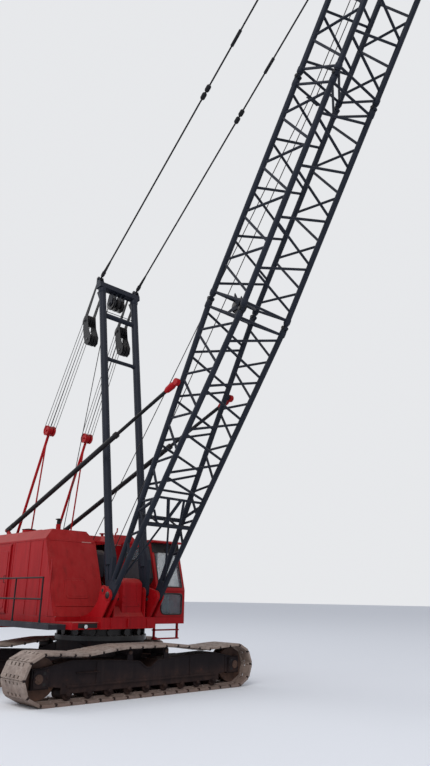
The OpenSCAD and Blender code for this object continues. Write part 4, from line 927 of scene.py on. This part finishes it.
def reeve_boom_hoist():
    """Parts between the hitch sheaves and the mast's blocks, and the fall line through the roof."""
    sizes = bpy.context.scene.crane_sizes
    for side, label in NAMED_SIDES:
        for i, d in enumerate((-0.13, -0.08, -0.03, 0.03, 0.08, 0.13)):
            low = (HITCH_X - 0.15 + 0.3 * (i % 2), side * HITCH_Y + d, HITCH_Z + 0.06)
            high = MAST @ Vector((BLOCK_S - 0.02, side * MAST_HEAD_Y + d * 0.9, BLOCK_Z + 0.17 - 0.34 * (i % 2)))
            rope(f"reeving_{label}_{i + 1}", low, high, sizes.reeving_rope / 2, bodies=("upper", "mast"))
    high = MAST @ Vector((HEAD_SHEAVE_S, -0.2, HEAD_SHEAVE_Z + 0.19))
    rope("boom_hoist_fall", (-2.13, -0.25, ROOF_Z + 0.03), high, sizes.hoist_rope / 2, bodies=("upper", "mast"))


def run_hoist_lines():
    """The two hoist lines, out of the bay and up the boom's back."""
    r = bpy.context.scene.crane_sizes.hoist_rope / 2
    for name, x, y, run_y in (("front", -0.85, 0.37, 0.09), ("rear", -2.3, 0.3, -0.09)):
        turn = BOOM @ Vector((BUTT + INSERT - 0.2, run_y, CHORD_Z + 0.14))
        rope("hoist_line_" + name, (x, y, 2.66), turn, r, bodies=("upper", "boom"))
        rope("hoist_run_" + name, turn, BOOM @ Vector((BOOM_LEN - 0.05, run_y * 1.8, 0.375)), r, body="boom")


def wind_drums():
    """Rope wound on both drums."""
    turns, grooves = 30, ((0.1, 0.262), (0.5, 0.276))
    profile = [((i + share) / turns, r) for i in range(turns) for share, r in grooves]
    for name, x in (("front", -0.95), ("rear", -2.4)):
        wound = Shape("upper")
        wound.spun((x, -DRUM_HW, DRUM_Z), "y", 2 * DRUM_HW, profile, 36)
        wound.done("drum_rope_" + name, "grease", slot="bare_steel")


# ---- House and deck ----

def rounded(x0, x1, y0, y1, radii):
    """Outline with round corners; radii start at the corner x1, y1 and go round to x1, y0."""
    corners = ((x1, y1, -1, -1, 0), (x0, y1, 1, -1, 90), (x0, y0, 1, 1, 180), (x1, y0, -1, 1, 270))
    arcs = [(x + sx * r, y + sy * r, r, math.radians(start + k * 18))
            for (x, y, sx, sy, start), r in zip(corners, radii) for k in range(6)]
    return [(x + r * math.cos(a), y + r * math.sin(a)) for x, y, r, a in arcs]


def strip_side_walls(seams):
    """Edge strips, posts and the eaves' seam of both side walls; gives the places of the strips' bolts."""
    rows = []
    for side, front in ((RIGHT, front_x(EAVES_Z)), (LEFT, LEFT_FRONT_X)):
        y, out = side * HOUSE_Y, side * (HOUSE_Y + 0.01)
        for x in (-4.27, -2.42, -1.45, -0.72):
            if x + 0.04 < front:
                seams.box(x, x + 0.045, y, out, BED_TOP + 0.02, EAVES_Z - 0.03)
                rows += [((x + 0.022, out, z), facing((0, side, 0))) for z in (2.0, 2.4, 2.8, 3.2, 3.6)]
        seams.box(HOUSE_REAR, front, y, out, EAVES_Z - 0.03, EAVES_Z)
        seams.box(HOUSE_REAR, -2.5, y, out, BED_TOP, BED_TOP + 0.05)
    # Foot of the right corner: a post that stands upright before the rake
    seams.prism([(-0.06, BED_TOP), (0.23, BED_TOP), (-0.06, 2.55)], "y", -HOUSE_Y - 0.01, -HOUSE_Y)
    seams.box(-0.11, -0.06, -HOUSE_Y - 0.016, -HOUSE_Y, BED_TOP, 3.3)
    return rows


def dress_side_doors():
    """Pressed panels and a grip on each sliding door."""
    for side, label in NAMED_SIDES:
        y, body = side * (HOUSE_Y + 0.04), "side_door_" + label
        panel, grip = shapes(2, body)
        for z0, z1 in ((1.98, 2.74), (2.84, 3.62)):
            panel.prism(rounded(-3.36, -2.64, z0, z1, (0.05,) * 4), "y", y, y + side * 0.012)
        near, far = y + side * 0.005, y + side * 0.06
        grip.pipe([(-2.66, near, 2.7), (-2.66, far, 2.7), (-2.66, far, 2.9), (-2.66, near, 2.9)], 0.01)
        panel.done(body + "_panels", "house")
        grip.done(body + "_grip", "black", slot="house_paint")


def dress_front_wall():
    """Corner strips, fold and rounded panel of the raked right front, in a frame whose z points into the wall."""
    face = Shape("upper", tilted((RAKE_X, 0, BED_TOP), 90 + math.degrees(math.atan(RAKE))))
    high = (EAVES_Z - BED_TOP) / math.cos(math.atan(RAKE))
    face.prism(rounded(0.5, 1.07, -1.26, -0.53, (0.09,) * 4), "z", 0, -0.012)
    face.prism(rounded(0.56, 1.01, -1.19, -0.6, (0.07,) * 4), "z", -0.012, -0.017)
    face.box(0.275, 0.295, -1.6, -0.09, 0, -0.014)
    face.box(0, high, -1.7, -1.615, 0, -0.01)
    face.box(0, high, -0.09, -0.04, 0, -0.01)
    face.box(high - 0.035, high, -1.615, -0.09, 0, -0.008)
    face.done("front_panel", "house", 0.003)


def dress_roof():
    """Seams and hatches of the roof, exhaust and breather caps, and a black plate of painted shade for the hole of
    the boom hoist's rope.
    """
    roof, caps = shapes(2, "upper")
    for x0, x1, y0, y1, height in (
            (-3.6, -3.55, -1.42, 1.42, 0.014), (-2.4, -2.35, -1.42, 1.42, 0.014), (-2.1, -1.62, -1.3, -0.96, 0.04),
            (-3.4, -2.7, 0.1, 0.5, 0.04), (-2.26, -2.0, -0.34, -0.16, 0.035)):
        roof.box(x0, x1, y0, y1, ROOF_Z, ROOF_Z + height)
    caps.spun((-1.75, -0.646, ROOF_Z + 0.24), "z", 0.16, ((0, 0.06), (0.6, 0.06), (1, 0.055)))
    caps.spun((-1.75, -0.646, ROOF_Z + 0.4), "z", 0.04, ((0, 0.1), (0.5, 0.11), (1, 0.03)))
    caps.spun((-2.6, -1.173, ROOF_Z + 0.09), "z", 0.05, ((0, 0.21), (0.4, 0.22), (1, 0.05)), 24)
    # Black plate of painted shade for the rope's hole in the roof
    caps.box(-2.2, -2.06, -0.3, -0.2, ROOF_Z + 0.03, ROOF_Z + 0.038)
    roof.done("roof_hatches", "house", 0.006)
    caps.done("roof_caps", "black")


def dress_house():
    seams, dark, pale, hood = shapes(4, "upper")
    rows = strip_side_walls(seams)
    # Louvres in the rear wall, above the counterweight
    for k in range(8):
        x, z = HOUSE_REAR, 3.08 + k * 0.09
        for y0, y1 in ((-1.35, -0.25), (0.25, 1.35)):
            dark.prism([(x, z), (x - 0.034, z - 0.05), (x - 0.034, z - 0.042), (x, z + 0.012)], "y", y0, y1)
    # Strips below the eaves in pale pink: painted highlight along the edge
    pale.box(front_x(3.86) + 0.006, front_x(3.86) + 0.016, -0.52, -0.2, 3.85, 3.875)
    pale.box(LEFT_FRONT_X + 0.001, LEFT_FRONT_X + 0.01, 0.68, 0.94, 3.85, 3.872)
    # Cover between the boom feet: fold, latches and a seam where it meets the apron
    seams.box(COVER_X, COVER_X + 0.007, 0.27, 0.285, 2.1, 2.68)
    seams.box(COVER_X, COVER_X + 0.012, -0.19, 0.445, 2.098, 2.112)
    for y, z in ((-0.15, 2.36), (-0.15, 2.22), (0.36, 2.16)):
        dark.box(COVER_X, COVER_X + 0.018, y - 0.03, y + 0.03, z - 0.018, z + 0.018)
    # Hood over the front drum, in the bay
    hood.prism(rounded(-0.98, -0.55, 2.9, 3.68, (0.16, 0.16, 0.02, 0.02)), "y", 0.0, 0.33)
    hood.done("drum_hood", "deck", 0.01)
    seams.done("house_strips", "house", 0.002)
    dark.done("rear_louvres", "house")
    pale.done("pale_strips", "pale")
    bolts("strip_bolts", rows, "house", "upper", 0.01, 0.006)


def lay_treads():
    """Cross bars and outer lip of both walkways' grating, and the sockets of the handrails' posts."""
    deck, socket, rows = Shape("upper"), Shape(), []
    for side, front, posts in ((RIGHT, 0.88, (-4.12, -2.637, -1.153, 0.33)),
                               (LEFT, LEFT_FRONT_X, (-4.12, -2.99, -1.86, -0.73))):
        inner, outer = side * (HOUSE_Y + 0.005), side * (HOUSE_Y + WALK_W)
        for k in range(int((front - WALK_REAR) / 0.1)):
            x = WALK_REAR + k * 0.1
            deck.box(x, x + 0.03, inner + side * 0.02, outer - side * 0.02, WALK_Z, WALK_Z + 0.008)
        deck.box(WALK_REAR - 0.04, front, outer - side * 0.012, outer, WALK_Z, WALK_Z + 0.03)
        rows += [((x, side * POST_Y, WALK_Z), (0, 0, 0)) for x in posts]
    deck.done("deck_treads", "deck")
    socket.spun((0, 0, 0), "z", 0.1, ((0, 0.055), (0.12, 0.055), (0.14, 0.034), (1, 0.03)), 14)
    copies("post_sockets", socket.mesh("socket"), rows, "black", "upper")


def dress_ledge():
    """Ledge before the right half: a pale strip on its upper edge, worn paint with painted highlight, and a
    near-black panel of painted shade for the opening, with its lamp; ribs on the bed's nose.
    """
    bed, edge, gap, lamp, lens = shapes(5, "upper")
    for y0, y1 in ((-1.7, -1.53), (-0.93, -0.905)):
        bed.box(LEDGE_X, LEDGE_X + 0.012, y0, y1, BED_Z, LEDGE_Z)
    for y, half, depth, low, high in ((-0.06, 0.015, 0.05, 0.03, 0.02), (-0.6, 0.012, 0.02, 0.01, 0.01),
                                      (0.6, 0.012, 0.02, 0.01, 0.01)):
        bed.box(NOSE_X, NOSE_X + depth, y - half, y + half, BED_Z + low, BED_TOP - high)
    bed.box(NOSE_X, NOSE_X + 0.014, -0.9, 0.9, BED_Z, BED_Z + 0.03)
    # Pale strips on the ledge's upper edge and the house's corner: worn paint with painted highlight
    edge.box(LEDGE_X - 0.01, LEDGE_X + 0.014, -1.69, -0.93, LEDGE_Z, LEDGE_Z + 0.006)
    edge.box(0.3, 0.32, -1.7, -1.68, LEDGE_Z + 0.115, LEDGE_Z + 0.125)
    # Near-black panel of painted shade in the ledge's opening
    gap.box(LEDGE_X, LEDGE_X + 0.003, -1.52, -0.94, BED_Z + 0.035, LEDGE_Z - 0.02)
    lamp.spun((LEDGE_X, -1.325, 1.6), "x", 0.07, ((0, 0.03), (0.3, 0.05), (1, 0.056)))
    lens.spun((LEDGE_X + 0.07, -1.325, 1.6), "x", 0.014, ((0, 0.05), (0.6, 0.044), (1, 0.02)))
    bed.done("bed_ribs", "bracket", 0.003)
    edge.done("ledge_edge", "pale")
    gap.done("ledge_opening", "hollow")
    lamp.done("deck_lamp", "black")
    lens.done("deck_lamp_lens", "lens")


def dress_brackets():
    """Bosses of the foot brackets, and near-black discs of painted shade for their holes."""
    bosses, holes = shapes(2, "upper")
    x, _, z = BOOM_FOOT
    for side in SIDES:
        bosses.spun((x, side * CHEEK_Y, z), "y", side * 0.012, ((0, 0.14), (0.6, 0.14), (1, 0.125)), 28)
        bosses.spun((PIN_X, side * CHEEK_Y, PIN_Z), "y", side * 0.012, ((0, 0.09), (0.6, 0.09), (1, 0.08)), 24)
        # Near-black discs of painted shade for the holes
        holes.spun((PIN_X, side * (CHEEK_Y + 0.01), PIN_Z), "y", side * 0.006, ((0, 0.05), (1, 0.045)))
        holes.spun((1.4, side * 0.494, 2.29), "y", side * -0.003, ((0, 0.045), (1, 0.045)))
    bosses.done("bracket_bosses", "bracket")
    holes.done("bracket_holes", "hollow")


def dress_counterweight():
    """Lifting eyes and the seam across the rear."""
    weight, x = Shape("upper"), WEIGHT_REAR + 0.36
    for y in (-0.9, 0.9):
        weight.pipe([(x, y + dy, z) for dy, z in ((-0.09, 2.85), (-0.09, 2.95), (-0.05, 3.0), (0.05, 3.0),
                                                  (0.09, 2.95), (0.09, 2.85))], 0.022)
    weight.box(WEIGHT_REAR - 0.012, WEIGHT_REAR, -1.6, 1.6, 2.05, 2.07)
    weight.done("weight_eyes", "house", 0.003)


# ---- Cab and backstops ----

def side_pane(rear, z0, z1, margin):
    """Corners (x, z) of a side window whose front edge follows the windscreen."""
    return [(rear, z0), (screen_x(z0) - margin, z0), (screen_x(z1) - margin, z1), (rear, z1)]


def dress_windows():
    """Rubbers round the cab's fixed windows, and the opaque lower half of the right one."""
    rubber, blind = shapes(2, "upper")
    rear, y, margin, split = CAB_REAR + 0.2, CAB_Y0 + 0.008, 0.1, 3.4
    rubber.surround([(x, y - 0.002, z) for x, z in side_pane(rear, 2.86, 3.76, margin)], 0.02)
    rubber.rod((rear, y, split), (screen_x(split) - margin, y, split), 0.014, 8)
    blind.prism(side_pane(rear, 2.86, split, margin), "y", CAB_Y0 + 0.012, CAB_Y0 + 0.017)
    # Black patch below the right window's front corner
    rubber.prism([(0.5, 2.875), (0.56, 2.8), (0.66, 2.72), (0.8, 2.68), (0.94, 2.7), (1.01, 2.76),
                  (screen_x(2.875) - 0.08, 2.875)], "y", CAB_Y0 - 0.008, CAB_Y0)
    # Lower front window, round like its pane, and the windscreen
    pane = rounded(CAB_Y0 + 0.17, CAB_Y1 - 0.11, 1.895, 2.455, (0.07, 0.07, 0.15, 0.07))
    rubber.pipe([(CAB_FRONT + 0.002, y, z) for y, z in pane + pane[:1]], 0.02, 8)
    low, high, right, left = 2.64, 3.82, CAB_Y0 + 0.1, CAB_Y1 - 0.1
    rubber.surround([(screen_x(z), y, z) for y, z in ((right, low), (left, low), (left, high), (right, high))], 0.018)
    rubber.done("window_rubbers", "rubber")
    blind.done("window_blind", "blind")


def dress_cab_front():
    """Black band along the windscreen's top with its wiper, and the folds under the panes."""
    dark, fold = shapes(2, "upper")
    low, high = screen_x(3.6), screen_x(3.87)
    dark.prism([(low + 0.004, 3.6), (high + 0.004, 3.87), (high + 0.03, 3.87), (low + 0.018, 3.6)],
               "y", CAB_Y0 + 0.01, CAB_Y1 - 0.01)
    dark.rod((screen_x(3.62) + 0.03, 1.5, 3.62), (screen_x(2.8) + 0.03, 1.36, 2.8), 0.008, 6)
    dark.box(screen_x(3.68), screen_x(3.68) + 0.055, 1.44, 1.56, 3.63, 3.71)
    fold.box(CAB_FRONT, CAB_FRONT + 0.018, CAB_Y0 + 0.02, CAB_Y1 - 0.02, CAB_SILL - 0.035, CAB_SILL - 0.005)
    fold.box(CAB_FRONT, CAB_FRONT + 0.012, CAB_Y0 + 0.02, CAB_Y1 - 0.02, 1.825, 1.845)
    dark.done("cab_visor", "black")
    fold.done("cab_folds", "house", 0.004)


def dress_cab_door():
    """Rubber round the door's window, and its handle."""
    seal, y = Shape("cab_door"), CAB_Y1 + 0.052
    seal.surround([(x, y, z) for x, z in side_pane(CAB_REAR + 0.36, 2.56, 3.76, 0.24)], 0.016)
    seal.pipe([(0.95, y - 0.005, 2.3), (0.95, y + 0.05, 2.3), (0.82, y + 0.05, 2.3), (0.82, y - 0.005, 2.3)], 0.011)
    seal.done("door_rubber", "rubber")


def dress_cab_small():
    """Knobs on the levers, and hooked pipes on the left half's roof edge."""
    lever, hook = shapes(2, "upper")
    for i in range(5):
        y = (CAB_Y0 + CAB_Y1) / 2 - 0.2 + i * 0.1
        lever.spun((0.7, y, 2.765), "z", 0.065, ((0, 0.012), (0.3, 0.028), (0.8, 0.028), (1, 0.01)), 12)
    for y, bend in ((0.59, 0.1), (0.84, -0.06)):
        hook.pipe([(-0.72, y + bend * share, ROOF_Z + dz)
                   for share, dz in ((1, -0.12), (1, -0.02), (0.7, 0.04), (0, 0.08), (-0.2, 0.2))], 0.022)
    lever.done("lever_knobs", "rubber")
    hook.done("roof_hooks", "bracket")


def dress_stops():
    """Collars of the backstops' tubes, and the red ends of their rods."""
    for side, label in NAMED_SIDES:
        place = tilted((STOP_FOOT[0], side * STOP_FOOT[1], STOP_FOOT[2]), STOP_SLOPE)
        tube, rod = Shape("stop_tube_" + label, place), Shape("stop_rod_" + label, place)
        tube.spun((STOP_TUBE, 0, 0), "x", 0.135, ((0, 0.078), (0.1, 0.092), (0.85, 0.092), (1, 0.075)), 28)
        tube.spun((0.38, 0, 0), "x", 0.12, ((0, 0.07), (0.1, 0.084), (1, 0.078)), 28)
        rod.spun((STOP_ROD_END, 0, 0), "x", 0.38, ((0, 0.06), (0.2, 0.085), (0.7, 0.095), (1, 0.07)), 24)
        rod.spun((STOP_LEN, -0.058, 0), "y", 0.116, ((0, 0.09), (0.1, 0.1), (0.9, 0.1), (1, 0.09)), 28)
        tube.done("stop_collars_" + label, "black")
        rod.done("stop_eye_" + label, "bracket")


# ---- Stage ----

CAMERA_PLACE, CAMERA_LENS = (16.16, -11.06, 2.32), 29.94
CAMERA_TURNS = ((46.47, "Z"), (90 + 18.75, "X"), (0.9, "Z"))
# Name, place, size and energy of each lamp, and what they point at
LAMPS = (("Soft key", (30, -40, 45), 30, 17000), ("Soft fill", (-40, -30, 35), 34, 8000))
LAMP_TARGET = Vector((4, 0, 8))


def place_camera(scene):
    shot = bpy.data.cameras.new("Photo view")
    shot.lens, shot.sensor_width, shot.clip_end = CAMERA_LENS, 36.0, 2000
    camera = linked("Photo view", shot)
    place = Matrix.Translation(CAMERA_PLACE)
    for degrees, axis in CAMERA_TURNS:
        place = place @ Matrix.Rotation(math.radians(degrees), 4, axis)
    camera.matrix_world = place
    scene.camera = camera


def lay_floor(reach, pale):
    data = bpy.data.meshes.new("floor")
    data.from_pydata([(-reach, -reach, 0), (reach, -reach, 0), (reach, reach, 0), (-reach, reach, 0)], [],
                     [(0, 1, 2, 3)])
    floor = linked("floor", data)
    data.materials.append(Shade("Pale floor").finish(pale, 0.9))


def light_world(scene, pale):
    """A bluish light on the crane, and the floor's colour as the backdrop that is seen."""
    world = bpy.data.worlds.new("Overcast")
    scene.world = world
    world.use_nodes = True
    t = Tree(world.node_tree)
    world.node_tree.nodes.clear()
    path = world.node_tree.nodes.new("ShaderNodeLightPath")
    camera, glossy, through = (Wire(t, path.outputs[f"Is {ray} Ray"]) for ray in ("Camera", "Glossy", "Transmission"))
    light = t.node("ShaderNodeBackground", {"Color": (0.86, 0.9, 1.0, 1), "Strength": 0.62})
    sky = t.node("ShaderNodeBackground", {"Color": (*pale, 1), "Strength": 1.0})
    both = t.node("ShaderNodeMixShader", {0: camera.most(glossy).most(through), 1: light, 2: sky})
    t.node("ShaderNodeOutputWorld", {"Surface": both})


def hang_lamps():
    for name, place, size, energy in LAMPS:
        lamp = bpy.data.lights.new(name, "AREA")
        lamp.size, lamp.energy = size, energy
        turn = (LAMP_TARGET - Vector(place)).to_track_quat("-Z", "Y").to_matrix().to_4x4()
        linked(name, lamp).matrix_world = Matrix.Translation(place) @ turn


# ---- Add-on ----

class CraneSizes(bpy.types.PropertyGroup):
    hoist_rope: FloatProperty(name="Hoist rope", description="Diameter of a hoist rope", default=0.026, min=0.015,
                              max=0.04, unit="LENGTH")
    reeving_rope: FloatProperty(name="Reeving rope", description="Diameter of the boom hoist's rope", default=0.02,
                                min=0.012, max=0.03, unit="LENGTH")
    floor_reach: FloatProperty(name="Floor reach", description="Half of the floor's width", default=400.0, min=50.0,
                               max=1000.0, unit="LENGTH")


class CraneColours(bpy.types.PropertyGroup):
    house_red: FloatVectorProperty(name="House red", description="Paint of the house and the cab", subtype="COLOR",
                                   default=paint(150, 11, 19), min=0, max=1)
    boom_blue: FloatVectorProperty(name="Boom blue grey", description="Paint of the boom and the mast",
                                   subtype="COLOR", default=paint(30, 34, 43), min=0, max=1)
    floor_grey: FloatVectorProperty(name="Floor", description="Pale floor and backdrop", subtype="COLOR",
                                    default=(0.80, 0.81, 0.83), min=0, max=1)


class Dressing(bpy.types.Operator):
    """Base of the operators that add fittings: runs its steps in order"""
    bl_options = {"REGISTER", "UNDO"}
    steps = ()

    def execute(self, context):
        for step in self.steps:
            step()
        return {"FINISHED"}


class CRANE_OT_finishes(Dressing):
    """Make every finish and put it on the frame's own pieces"""
    bl_idname = "crane.finishes"
    bl_label = "Finishes"

    def execute(self, context):
        make_finishes(context.scene.crane_colours)
        missing = set(NODES)
        for finish, names in NODE_FINISH.items():
            for name in names.split():
                materials = NODES[name].data.materials
                materials.clear()
                materials.append(FINISHES[finish])
                missing.discard(name)
        if missing:
            raise RuntimeError(f"no finish for {sorted(missing)}")
        return {"FINISHED"}


class CRANE_OT_stage(Dressing):
    """Floor, world, lamps and camera"""
    bl_idname = "crane.stage"
    bl_label = "Stage"

    def execute(self, context):
        scene = context.scene
        pale = tuple(scene.crane_colours.floor_grey)
        place_camera(scene)
        lay_floor(scene.crane_sizes.floor_reach, pale)
        light_world(scene, pale)
        hang_lamps()
        scene.view_settings.view_transform = "Standard"
        return {"FINISHED"}


class CRANE_OT_tracks(Dressing):
    """Lay the detailed shoes and dress the side frames"""
    bl_idname = "crane.tracks"
    bl_label = "Tracks and side frames"
    steps = (lay_shoes, dress_side_frames, dress_wheels)


class CRANE_OT_carbody(Dressing):
    """Webs and bolts of the carbody and the roller path"""
    bl_idname = "crane.carbody"
    bl_label = "Carbody"
    steps = (dress_carbody,)


class CRANE_OT_boom(Dressing):
    """Pins, collars, rods and guides of the boom"""
    bl_idname = "crane.boom"
    bl_label = "Boom fittings"
    steps = (dress_boom,)


class CRANE_OT_mast(Dressing):
    """Collars, shafts and sockets of the mast and its pendants"""
    bl_idname = "crane.mast"
    bl_label = "Mast fittings"
    steps = (dress_mast, socket_pendants)


class CRANE_OT_ropes(Dressing):
    """Reeving, hoist lines and the rope on the drums"""
    bl_idname = "crane.ropes"
    bl_label = "Ropes"
    steps = (reeve_boom_hoist, run_hoist_lines, wind_drums)


class CRANE_OT_house(Dressing):
    """Strips, panels, louvres and roof fittings of the house"""
    bl_idname = "crane.house"
    bl_label = "House fittings"
    steps = (dress_side_doors, dress_front_wall, dress_house, dress_roof)


class CRANE_OT_deck(Dressing):
    """Treads, ribs, lamp and lifting eyes"""
    bl_idname = "crane.deck"
    bl_label = "Deck fittings"
    steps = (lay_treads, dress_ledge, dress_brackets, dress_counterweight)


class CRANE_OT_cab(Dressing):
    """Rubbers, visor, wiper, handles and knobs of the cab"""
    bl_idname = "crane.cab"
    bl_label = "Cab fittings"
    steps = (dress_windows, dress_cab_front, dress_cab_door, dress_cab_small)


class CRANE_OT_stops(Dressing):
    """Collars and red ends of the backstops"""
    bl_idname = "crane.stops"
    bl_label = "Backstop fittings"
    steps = (dress_stops,)


class CRANE_PT_panel(bpy.types.Panel):
    """Lists the crane's sizes, colours and operators"""
    bl_label = "Crawler crane"
    bl_idname = "CRANE_PT_panel"
    bl_space_type = "VIEW_3D"
    bl_region_type = "UI"
    bl_category = "Crane"

    def draw(self, context):
        for group in (context.scene.crane_sizes, context.scene.crane_colours):
            for key in group.bl_rna.properties.keys():
                if key not in ("rna_type", "name"):
                    self.layout.prop(group, key)
        for operator in OPERATORS:
            self.layout.operator(operator.bl_idname)


OPERATORS = (CRANE_OT_finishes, CRANE_OT_stage, CRANE_OT_tracks, CRANE_OT_carbody, CRANE_OT_boom, CRANE_OT_mast,
             CRANE_OT_ropes, CRANE_OT_house, CRANE_OT_deck, CRANE_OT_cab, CRANE_OT_stops)
CLASSES = (CraneSizes, CraneColours, *OPERATORS, CRANE_PT_panel)


def register():
    for cls in CLASSES:
        bpy.utils.register_class(cls)
    bpy.types.Scene.crane_sizes = PointerProperty(type=CraneSizes)
    bpy.types.Scene.crane_colours = PointerProperty(type=CraneColours)


def unregister():
    del bpy.types.Scene.crane_sizes, bpy.types.Scene.crane_colours
    for cls in reversed(CLASSES):
        bpy.utils.unregister_class(cls)


def main():
    register()
    for operator in OPERATORS:
        section, name = operator.bl_idname.split(".")
        getattr(getattr(bpy.ops, section), name)()


if __name__ == "__main__":
    main()
